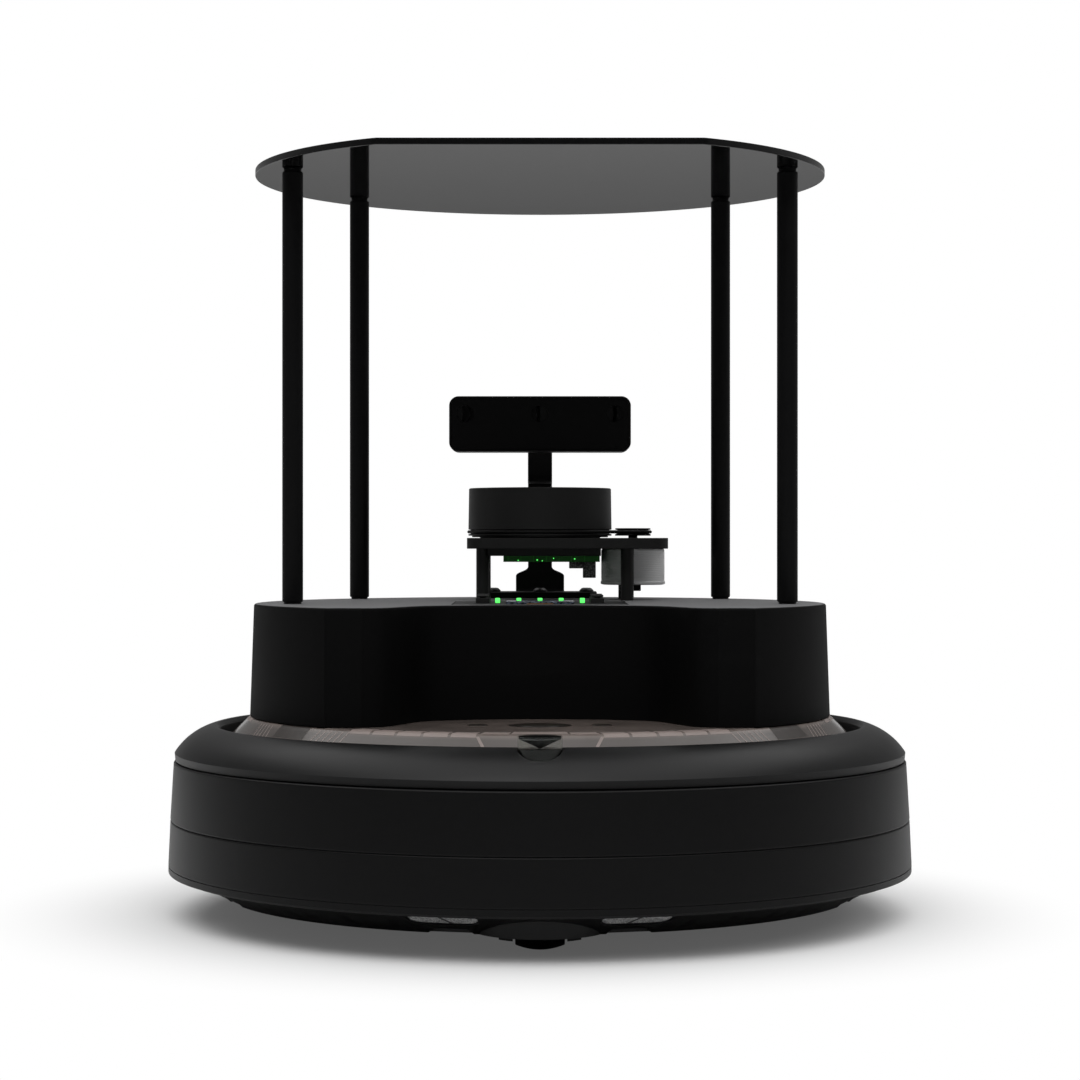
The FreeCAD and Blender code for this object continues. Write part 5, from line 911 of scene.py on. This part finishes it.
def faceplate_inlays():
    """Milky dashes and slanted bars moulded in the faceplate's rim."""
    edge = [-6.0, -3.0, 0.0, 0.8, 1.6, 2.4, 3.2]
    slope = [2.6 + 1.3 * k for k in range(7)]
    rear = int((360.0 - 2 * REAR_DASHES) / DASH_STEP)
    for side, count, first in (
            ("right", FRONT_DASHES, FRONT_RIB + DASH_GAP / 2),
            ("left", FRONT_DASHES, -FRONT_RIB - FRONT_DASHES * DASH_STEP + DASH_GAP / 2),
            ("rear", rear, REAR_DASHES)):
        dash = rim_strip("rim_dashes_" + side, 0.0, DASH_STEP - DASH_GAP, edge)
        guide_piece(dash, count, first, DASH_STEP)
    for sign, side, near_first, far_first in ((1, "right", 36.9, 60.6), (-1, "left", -44.1, -66.4)):
        guide_piece(rim_strip("front_rib_" + side, sign * FRONT_RIB - 0.3, sign * FRONT_RIB + 0.3,
                              slope, -sign * 1.75, 2))
        guide_piece(rim_strip("inner_dash_" + side, sign * (FRONT_RIB - 0.4), sign * 5.6,
                              [-8.0, -4.0, 0.0, 0.8]))
        guide_piece(rim_strip("near_bar_" + side, -BAR_HALF, BAR_HALF, slope, sign * 1.0, 2),
                    6, near_first, BAR_STEP)
        guide_piece(rim_strip("far_bar_" + side, -BAR_HALF, BAR_HALF, slope, -sign * 1.5, 2),
                    5, far_first, BAR_STEP)
        extra_piece(rim_strip("rim_window_" + side, sign * 47.4, sign * 57.2,
                              [-4.0, -1.0, 0.6, 2.2, 4.4, 6.6, 8.4], 0.0, 12),
                    "faceplate", RIM_WINDOW)
    guide_piece(rim_strip("middle_dash", -5.2, 5.2, [-12.0, -8.0, -4.0, -0.6], 0.0, 12))


def base_buttons():
    """Dished caps of the three base buttons, and the ring of light round the power button."""
    for node, x, radius in (("power_button", 0.0, 10.4), ("base_button_left", -BUTTON_X, 4.6),
                            ("base_button_right", BUTTON_X, 4.6)):
        cap = rounded([(0.0, 90.55, 0.0), (radius * 0.55, 90.6, 1.0), (radius - 1.1, 90.9, 0.4),
                       (radius, 90.5, 0.5), (radius, 87.3, 0.2), (0.0, 87.3, 0.0)])
        finish_piece(turned(node + "_cap", cap, (x, BUTTON_Y), 96), node)
    guide = rounded([(10.75, 90.5, 0.2), (13.95, 90.5, 0.2), (13.95, 88.0, 0.0),
                     (10.75, 88.0, 0.0)])
    finish_piece(turned("light_ring_guide", guide, (0.0, BUTTON_Y), 96), "light_ring",
                 SMOKED_GUIDE)


def receiver_pieces():
    """Clear receiver lens over its grey cone, dark cap and dark foot."""
    place = (0.0, RECEIVER_Y)
    top, inner = RECEIVER_TOP, RECEIVER_RADIUS - 0.25
    lens = rounded([(inner, LEDGE_Z, 0.0), (RECEIVER_RADIUS, LEDGE_Z, 0.0),
                    (RECEIVER_RADIUS, top, 0.1), (inner, top, 0.1)], 2)
    finish_piece(turned("receiver_lens", lens, place, 96), "ir_receiver_lens")
    cone = rounded([(0.0, 90.5, 0.0), (8.75, 90.5, 0.1), (8.75, 90.0, 0.2), (0.4, 86.1, 0.0),
                    (0.0, 86.1, 0.0)], 2)
    finish_piece(turned("receiver_cone", cone, place, 96), "ir_receiver_cone", CONE_PLASTIC)
    for name, high, low, high_ease, low_ease in (("cap", 91.1, 90.55, 0.3, 0.1),
                                                 ("foot", 86.0, 80.1, 0.25, 0.0)):
        disc = rounded([(0.0, high, 0.0), (8.85, high, high_ease), (8.85, low, low_ease),
                        (0.0, low, 0.0)], 2)
        extra_piece(turned("receiver_" + name, disc, place, 96), "ir_receiver_cone")


# Shell, posts and deck

def smooth_through(points, parts=8):
    """Smooth curve through points, as more points."""
    made = []
    count = len(points)
    for k in range(count - 1):
        near = (points[max(k - 1, 0)], points[k], points[k + 1], points[min(k + 2, count - 1)])
        for step in range(parts):
            t = step / parts
            made.append(tuple(0.5 * (2 * b + (c - a) * t + (2 * a - 5 * b + 4 * c - d) * t * t
                                     + (3 * b - a - 3 * c + d) * t ** 3)
                              for a, b, c, d in zip(*near)))
    made.append(points[-1])
    return made


def shell_outline(height, inset):
    """Shell's outline at a height, inset from its surface."""
    drop = (SHELL_TOP - height) / SHELL_HEIGHT
    radius = SHELL_RADIUS + SHELL_DRAFT * drop - inset
    lobe = LOBE_Y - RECESS_DRAFT * drop + inset
    recess = RECESS_Y - RECESS_DRAFT * drop + inset
    right = [(x + inset, recess + share * (lobe - recess)) for x, share in WAVE]
    wave = smooth_through(right + [(0.0, recess)] + [(-x, y) for x, y in reversed(right)])
    corner = math.sqrt(radius ** 2 - lobe ** 2)
    flat = corner - right[0][0]
    steps = 160
    first = math.atan2(lobe, corner)
    angles = [first + (math.pi - 2 * first) * k / steps for k in range(steps + 1)]
    arc = [(radius * math.cos(angle), radius * math.sin(angle)) for angle in angles]
    quarters = (0.25, 0.5, 0.75)
    lobe_left = [(-corner + flat * t, lobe) for t in quarters]
    lobe_right = [(right[0][0] + flat * t, lobe) for t in quarters]
    return arc + lobe_left + list(reversed(wave)) + lobe_right


def shell_piece():
    """Shell with drafted walls, a rounded top edge, a panel recess and a port window."""
    foot = SHELL_LOW + SHELL_FOOT
    wall = SHELL_HEIGHT - SHELL_FOOT - SHELL_ROUND
    rows = [(SHELL_LOW, 0.25), (foot, 0.0)]
    rows += [(foot + wall * k / 6, 0.0) for k in range(1, 7)]
    rows += [(SHELL_TOP - SHELL_ROUND + SHELL_ROUND * math.sin(a), SHELL_ROUND * (1 - math.cos(a)))
             for a in (math.radians(15 * k) for k in range(1, 7))]
    outer, hollow = [
        from_bmesh(name, stacked([(height, shell_outline(height, inset))
                                  for height, inset in levels]))
        for name, levels in (("shell_moulding", rows),
                             ("hollow_tool", ((SHELL_LOW - 2.0, SHELL_WALL),
                                              (SHELL_TOP - SHELL_WALL, SHELL_WALL))))]
    low, high = box_of("ui_board")
    panel = box_mesh("panel_tool", (low[0] - 0.2, high[0] + 0.2), (low[1] - 0.2, high[1] + 0.2),
                     (low[2], SHELL_TOP + 5))
    low, high = box_of("computer_ports")
    window = box_mesh("window_tool", (low[0] - 2, high[0] + 2), (105.0, 200.0),
                      (low[2] - 3.6, high[2] + 2))
    carved(outer, hollow, panel, window)
    shade(outer.data, 35)
    finish_piece(outer, "shell")


def post_pieces():
    """Posts with necks and chamfers."""
    low, high = SHELL_TOP, DECK_LOW
    profile = rounded([
        (0.0, low - 8.0, 0.0), (2.0, low - 8.0, 0.2), (2.0, low, 0.0), (4.0, low, 0.15),
        (4.0, low + 0.8, 0.1), (4.25, low + 0.8, 0.1), (4.75, low + 1.3, 0.2),
        (4.75, high - 1.3, 0.2), (4.25, high - 0.8, 0.1), (4.0, high - 0.8, 0.1),
        (4.0, high, 0.1), (0.0, high, 0.0)])
    for name, place in POSTS.items():
        finish_piece(turned("post_rod_" + name, profile, place, 64), "post_" + name)


def deck_piece():
    """Polished deck: round, with a straight front edge, eased rims and sunk screw holes."""
    reach = math.asin((DECK_FRONT_Y - DECK_Y) / DECK_RADIUS)
    outline = [(DECK_RADIUS * math.cos(a), DECK_Y + DECK_RADIUS * math.sin(a))
               for a in (reach + (math.pi - 2 * reach) * k / 240 for k in range(241))]
    bm = stacked(((DECK_LOW, outline), (DECK_TOP, outline)))
    bmesh.ops.recalc_face_normals(bm, faces=bm.faces)
    rims = [edge for edge in bm.edges
            if abs(edge.verts[0].co.z - edge.verts[1].co.z) < 1e-6]
    round_edges(bm, rims, 0.35)
    deck = from_bmesh("deck_sheet", bm)
    sink = [(0.0, DECK_LOW - 1), (1.8, DECK_LOW - 1), (1.8, DECK_TOP - 1.65), (3.45, DECK_TOP),
            (3.45, DECK_TOP + 1), (0.0, DECK_TOP + 1)]
    carved(deck, *[turned("sink_tool", sink, place, 48) for place in POSTS.values()])
    shade(deck.data, 30)
    finish_piece(deck, "top_plate")


# Scanner and camera

def scanner_head_piece():
    """Turning head with its belt groove, its flat and two eyes."""
    head = rounded([(radius, SCANNER_TOP + height, ease) for radius, height, ease in (
        (0.0, 10.35, 0.0), (8.05, 10.35, 0.0), (8.05, 1.55, 0.0), (29.85, 1.55, 0.0),
        (29.85, 0.35, 0.0), (33.35, 0.35, 0.2), (33.35, 1.1, 0.1), (35.15, 1.1, 0.3),
        (35.15, 1.9, 0.2), (34.35, 1.95, 0.2), (33.8, 2.2, 0.2), (33.8, 3.8, 0.2),
        (34.4, 4.05, 0.2), (35.15, 4.1, 0.2), (34.85, 23.9, 0.2), (34.45, 24.3, 0.2),
        (10.0, 24.3, 0.0), (0.0, 24.3, 0.0))], 4)
    made = turned("scanner_drum", head, (0.0, SCANNER_Y), 160)
    flat = box_mesh("flat_tool", (-23.1, 23.1), (SCANNER_FLAT_Y, SCANNER_FLAT_Y + 60),
                    (SCANNER_TOP + 4.4, SCANNER_TOP + 21.6))
    eyes = []
    for x, radius in ((-13.0, 4.6), (13.0, 7.6)):
        eye = peg("eye_tool", radius, 0.0, 4.0, steps=64)
        place = (x * MM, SCANNER_FLAT_Y * MM, (SCANNER_TOP + 13.0) * MM)
        eye.data.transform(Matrix.Translation(place) @ Matrix.Rotation(math.radians(90), 4, "X"))
        eyes.append(eye)
    carved(made, flat, *eyes)
    finish_piece(soften_edges(made, 0.12, 50.0), "scanner_head")


def scanner_drive_pieces():
    """Pulley and motor of the scanner, with the motor's terminal and fine rolled lines."""
    place = (PULLEY_X, SCANNER_Y)
    pulley = rounded([(radius, SCANNER_TOP + height, ease) for radius, height, ease in (
        (0.0, 4.8, 0.0), (8.5, 4.8, 0.3), (8.8, 4.4, 0.2), (8.6, 4.1, 0.2), (7.46, 3.9, 0.3),
        (7.46, 2.3, 0.3), (8.6, 1.9, 0.2), (8.8, 1.6, 0.2), (8.8, 1.1, 0.2), (2.25, 1.1, 0.0),
        (2.25, -16.0, 0.1), (0.0, -16.0, 0.0))], 3)
    finish_piece(turned("scanner_drive_pulley", pulley, place, 80), "scanner_pulley")
    motor = rounded([
        (0.0, 149.2, 0.0), (14.6, 149.2, 0.8), (15.8, 149.6, 0.4), (15.8, 150.8, 0.2),
        (MOTOR_RADIUS, 151.0, 0.2), (MOTOR_RADIUS, 166.2, 0.6), (15.0, 166.9, 0.3),
        (2.4, 166.9, 0.0), (2.4, 155.0, 0.0), (0.0, 155.0, 0.0)], 4)
    finish_piece(turned("scanner_motor_can", motor, place, 96), "scanner_motor")
    stub = box_mesh("motor_terminal", (39.0, 49.1), (56.5, 62.5), (146.3, 149.6), 0.4)
    extra_piece(stub, "scanner_motor", FINISH["belt_rubber"])
    near, far = MOTOR_RADIUS - 0.05, MOTOR_RADIUS + 0.12
    line = turned("motor_line", rounded([(near, -0.16, 0.0), (far, -0.08, 0.05),
                                         (far, 0.08, 0.05), (near, 0.16, 0.0)], 2), steps=96)
    places = [(*place, 153.0 + 0.9 * k) for k in range(MOTOR_LINES)]
    extra_piece(on_places("motor_lines", line, places, FINISH["motor_metal"]), "scanner_motor")


def board_lights():
    """Tiny lit parts on the edge of the scanner's board."""
    low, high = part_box("scanner_board")
    front, level = low.y / MM, (low.z + high.z) / 2 / MM
    chip = box_mesh("board_light", (-0.35, 0.35), (-0.25, 0.05), (-0.25, 0.25), 0.08)
    places = [(x, front, level + lift) for x, lift in (
        (-1.3, -0.5), (1.2, -0.9), (6.6, 0.3), (16.8, 0.0), (-10.5, -0.7))]
    extra_piece(on_places("board_light_set", chip, places, FINISH["led_green"]), "ui_leds")


def camera_lens_pieces():
    """Three flat lenses, each with a fine raised ring, behind the camera's glass."""
    low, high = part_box("camera_lenses")
    back = high.y / MM
    reach = (high.z - low.z) / 2 / MM
    level = (high.z + low.z) / 2 / MM
    thick = back - low.y / MM
    lens = turned("lens_disc", rounded([
        (0.0, 0.0, 0.0), (reach, 0.0, 0.0), (reach, thick, 0.15), (reach - 0.35, thick, 0.1),
        (reach - 0.5, thick - 0.12, 0.0), (1.5, thick - 0.12, 0.0), (1.2, thick - 0.3, 0.1),
        (0.0, thick - 0.3, 0.0)], 2), steps=64)
    lens.data.transform(Matrix.Rotation(math.radians(90), 4, "X"))
    places = [(x, back, level)
              for x in (low.x / MM + reach, (low.x + high.x) / 2 / MM, high.x / MM - reach)]
    finish_piece(on_places("camera_lens_set", lens, places, LENS_GLASS), "camera_lenses",
                 LENS_GLASS)


# Wheels and screws

def along_x(obj, x, y, z):
    """Lays a piece made about the upright axis along X, through a place."""
    obj.data.transform(Matrix(((0, 0, 1, x * MM), (1, 0, 0, y * MM), (0, 1, 0, z * MM),
                               (0, 0, 0, 1))))


def inner_radius(node, y, z):
    """Smallest distance of a node's points from an axis along X, in millimetres."""
    return min(math.hypot(p.co.y / MM - y, p.co.z / MM - z) for p in CAD[node].data.vertices)


def tread_block(name, half, sign):
    """One tread block with eased edges."""
    width = math.tau / TREADS * WHEEL_RADIUS - TREAD_GAP
    steps = 4
    bm = bmesh.new()
    rows = []
    for radius, margin in ((WHEEL_RADIUS - 2.2, 1.0), (WHEEL_RADIUS - 0.04, 1.9)):
        for place in (margin - half, half - margin):
            angles = [(k / steps - 0.5) * width / WHEEL_RADIUS for k in range(steps + 1)]
            rows.append([bm.verts.new((radius * math.cos(a), radius * math.sin(a), sign * place))
                         for a in angles])
    under_a, under_b, top_a, top_b = rows
    for first, last in ((under_a, under_b), (top_a, top_b), (under_a, top_a), (under_b, top_b)):
        for k in range(steps):
            bm.faces.new((first[k], first[k + 1], last[k + 1], last[k]))
    for k in (0, steps):
        bm.faces.new((under_a[k], under_b[k], top_b[k], top_a[k]))
    return soften_edges(from_bmesh(name, bm, 30.0), 0.25, 30.0)


def tyre_pieces():
    """Tyres: a carcass with tread blocks repeated round it."""
    half = TYRE_WIDTH / 2
    shoulder, tread = WHEEL_RADIUS - 1.6, WHEEL_RADIUS - 1.55
    inner = inner_radius("right_tyre", 0.0, WHEEL_RADIUS)
    profile = rounded([
        (inner, -half, 0.0), (inner, half, 0.0), (shoulder, half, 0.8), (tread, half - 1.6, 0.0),
        (tread, -half + 1.6, 0.0), (shoulder, -half, 0.8)])
    for side, sign in (("left", -1), ("right", 1)):
        carcass = turned(side + "_carcass", profile, steps=120)
        treads = repeated(tread_block(side + "_tread", half, sign), TREADS, 0.0, 360.0 / TREADS,
                          FINISH["tyre_rubber"])
        for piece in (carcass, treads):
            along_x(piece, sign * WHEEL_X, 0.0, WHEEL_RADIUS)
        finish_piece(carcass, side + "_tyre")
        extra_piece(treads, side + "_tyre")


def caster_washers():
    """Thin washers between the caster's roller and its fork."""
    low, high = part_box("caster_wheel")
    near = (high.x - low.x) / MM / 2 + 0.12
    far = near + 0.55
    profile = rounded([(2.1, near, 0.0), (9.5, near, 0.1), (9.5, far, 0.1), (2.1, far, 0.0)], 2)
    for sign, side in ((-1, "left"), (1, "right")):
        washer = turned("caster_washer_" + side, profile, steps=64)
        along_x(washer, *((low + high) / 2 / MM))
        if sign < 0:
            washer.data.transform(Matrix.Scale(-1.0, 4, (1.0, 0.0, 0.0)))
            washer.data.flip_normals()
        extra_piece(washer, "caster_fork")


def screw(name, head_radius, head_height, shank_length, socket_radius):
    """Screw with its head up: a domed head with a six-sided socket, and its shank."""
    shank_radius = head_radius * 0.5
    made = turned(name, rounded([
        (0.0, head_height, 0.0), (head_radius * 0.62, head_height, head_height * 0.5),
        (head_radius, head_height * 0.35, 0.25), (head_radius, 0.0, 0.1),
        (shank_radius, 0.0, 0.0), (shank_radius, -shank_length, 0.2), (0.0, -shank_length, 0.0)]),
        steps=48)
    carved(made, peg("socket_tool", socket_radius, head_height * 0.35, head_height + 2.0, steps=6))
    return soften_edges(made, 0.08, 40.0)


def head_size(node, upward_head):
    """Height of a screw's head: where its outline steps in from the head to the shank."""
    low, high = islands(node)[0]
    middle = (low + high) / 2
    reach = (high.x - low.x) / 2
    heights = [v.co.z / MM for v in CAD[node].data.vertices
               if abs(math.hypot(v.co.x / MM - middle.x, v.co.y / MM - middle.y) - reach) < 0.05]
    return high.z - min(heights) if upward_head else max(heights) - low.z


def screw_pieces():
    """Base and bracket screws, each with a six-sided socket, one piece for each node."""
    for node, name, upward_head, socket in (("base_screws", "base_screw", False, 0.45),
                                            ("bracket_screws", "bracket_screw", True, 0.5)):
        found = islands(node)
        low, high = found[0]
        reach = (high.x - low.x) / 2
        size = head_size(node, upward_head)
        made = screw(name, reach, size, (high.z - low.z) - size, reach * socket)
        if not upward_head:
            made.data.transform(Matrix.Rotation(math.pi, 4, "X"))
        places = [((a.x + b.x) / 2, (a.y + b.y) / 2, b.z - size if upward_head else a.z + size)
                  for a, b in found]
        finish_piece(on_places(name + "_set", made, places, FINISH[SLOT_OF[node]]), node)


# Remaining nodes

def refined_nodes(names, material=None):
    """Copies of CAD nodes with eased edges and smooth curves."""
    for node in names:
        finish_piece(soften_edges(clean_copy(node, node + "_finished"), 0.25, 38.0), node, material)


def plain_nodes():
    """Material on every CAD node that still shows."""
    for node in CAD.values():
        if not node.hide_render:
            node.data.materials.clear()
            node.data.materials.append(FINISH[SLOT_OF[node.name]])


# Stage

def mix_shaders(tree, share, first, second):
    """Mix of two shaders by a share."""
    mix = tree.nodes.new("ShaderNodeMixShader")
    for slot, value in zip(mix.inputs, (share, first, second)):
        feed(tree, slot, value)
    return mix.outputs[0]


def seen_rays(tree):
    """The light path, and 1 for rays from the camera, straight or through clear pieces."""
    path = tree.nodes.new("ShaderNodeLightPath").outputs
    return path, math_node(tree, "MAXIMUM", path["Is Camera Ray"], path["Is Transmission Ray"])


def studio_floor():
    """Pale paper that keeps the object's shadow and runs out to white; its colour darkens with
    distance as painted shade; clear from below.
    """
    bm = bmesh.new()
    bmesh.ops.create_grid(bm, x_segments=1, y_segments=1, size=FLOOR_SIZE)
    floor = from_bmesh("studio_floor", bm)
    material = bpy.data.materials.new("studio_floor")
    material.use_nodes = True
    tree = material.node_tree
    tree.nodes.clear()
    reach = tree.nodes.new("ShaderNodeVectorMath")
    reach.operation = "DISTANCE"
    feed(tree, reach.inputs[0], object_place(tree))
    feed(tree, reach.inputs[1], FLOOR_MIDDLE)
    distance = reach.outputs["Value"]
    # Painted shade: the paper's colour falls from near to far.
    paper = add_node(tree, "ShaderNodeBsdfDiffuse",
                     Color=ranged(tree, distance, 0.45, 1.2, PAPER_NEAR_SHADED, PAPER_FAR_SHADED))
    white = tree.nodes.new("ShaderNodeEmission")
    away = ranged(tree, distance, FLOOR_KEPT, FLOOR_WHITE, FLOOR_SHARE, 1.0)
    seen = seen_rays(tree)[1]
    far = mix_shaders(tree, product(tree, seen, away), paper.outputs[0], white.outputs[0])
    clear = tree.nodes.new("ShaderNodeBsdfTransparent")
    below = tree.nodes.new("ShaderNodeNewGeometry").outputs["Backfacing"]
    add_node(tree, "ShaderNodeOutputMaterial",
             Surface=mix_shaders(tree, below, far, clear.outputs[0]))
    floor.data.materials.append(material)


def studio_world():
    """Dim room, paler at the back, with a band of white over the horizon and a white background."""
    world = bpy.data.worlds.new("studio")
    SCENE.world = world
    world.use_nodes = True
    tree = world.node_tree
    tree.nodes.clear()
    way = parts_of(tree, tree.nodes.new("ShaderNodeTexCoord").outputs["Generated"])
    depth = ranged(tree, way["Y"], -0.80, 0.30, ROOM_FRONT, ROOM_BACK)
    aside = math_node(tree, "ADD", depth, ranged(tree, way["X"], 0.3, 1.0, 0.0, ROOM_ASIDE))
    room = add_node(tree, "ShaderNodeBackground", Color=WHITE, Strength=aside)
    white = add_node(tree, "ShaderNodeBackground", Color=WHITE)
    low = product(tree, ranged(tree, way["Z"], 0.0, 0.02),
                  ranged(tree, way["Z"], 0.05, 0.12, 1.0, 0.0))
    band = product(tree, ranged(tree, way["Y"], 0.55, 0.95, 0.0, BAND_SHARE), low)
    path, seen = seen_rays(tree)
    share = math_node(tree, "MAXIMUM", seen, product(tree, path["Is Glossy Ray"], band))
    add_node(tree, "ShaderNodeOutputWorld",
             Surface=mix_shaders(tree, share, room.outputs[0], white.outputs[0]))


def area_light(name, place, aim, size, power):
    """Soft oblong lamp."""
    lamp = bpy.data.lights.new(name, "AREA")
    lamp.shape = "RECTANGLE"
    lamp.size, lamp.size_y = size
    lamp.energy = power
    made = add_object(name, lamp)
    made.location = place
    made.rotation_mode = "QUATERNION"
    made.rotation_quaternion = (Vector(aim) - Vector(place)).to_track_quat("-Z", "Y")


def camera():
    """Camera at the photograph's place."""
    data = bpy.data.cameras.new("camera")
    data.sensor_fit = "HORIZONTAL"
    data.sensor_width = SENSOR
    data.lens = FOCAL_PIXELS / FRAME_PIXELS * SENSOR
    data.clip_start = 0.05
    data.clip_end = 60.0
    made = add_object("camera", data)
    made.location = CAMERA_PLACE
    made.rotation_euler = (math.radians(90.0), 0.0, 0.0)
    SCENE.camera = made


camera()
studio_floor()
studio_world()
for row in LAMPS:
    area_light(*row)
SCENE.view_settings.view_transform = "Standard"

bumper_pieces()
trim_ring_piece()
faceplate_piece()
faceplate_inlays()
base_buttons()
receiver_pieces()
shell_piece()
post_pieces()
deck_piece()
scanner_head_piece()
scanner_drive_pieces()
board_lights()
tyre_pieces()
caster_washers()
camera_lens_pieces()
screw_pieces()
refined_nodes(("chassis", "cargo_tray", "camera_body", "camera_glass", "camera_bracket",
               "scanner_base", "caster_fork", "left_gearbox", "right_gearbox", "left_hub",
               "right_hub", "caster_wheel", "battery_cover", "cliff_windows", "ui_leds",
               "ui_flex", "ui_button_1", "ui_button_2", "ui_button_3", "ui_button_4",
               "ui_switches", "scanner_connectors", "scanner_belt", "charge_contacts",
               "computer_ports", "caster_axle", "ui_board"))
refined_nodes(("ui_display",), DISPLAY)
refined_nodes(("scanner_legs",), LEG_METAL)
plain_nodes()
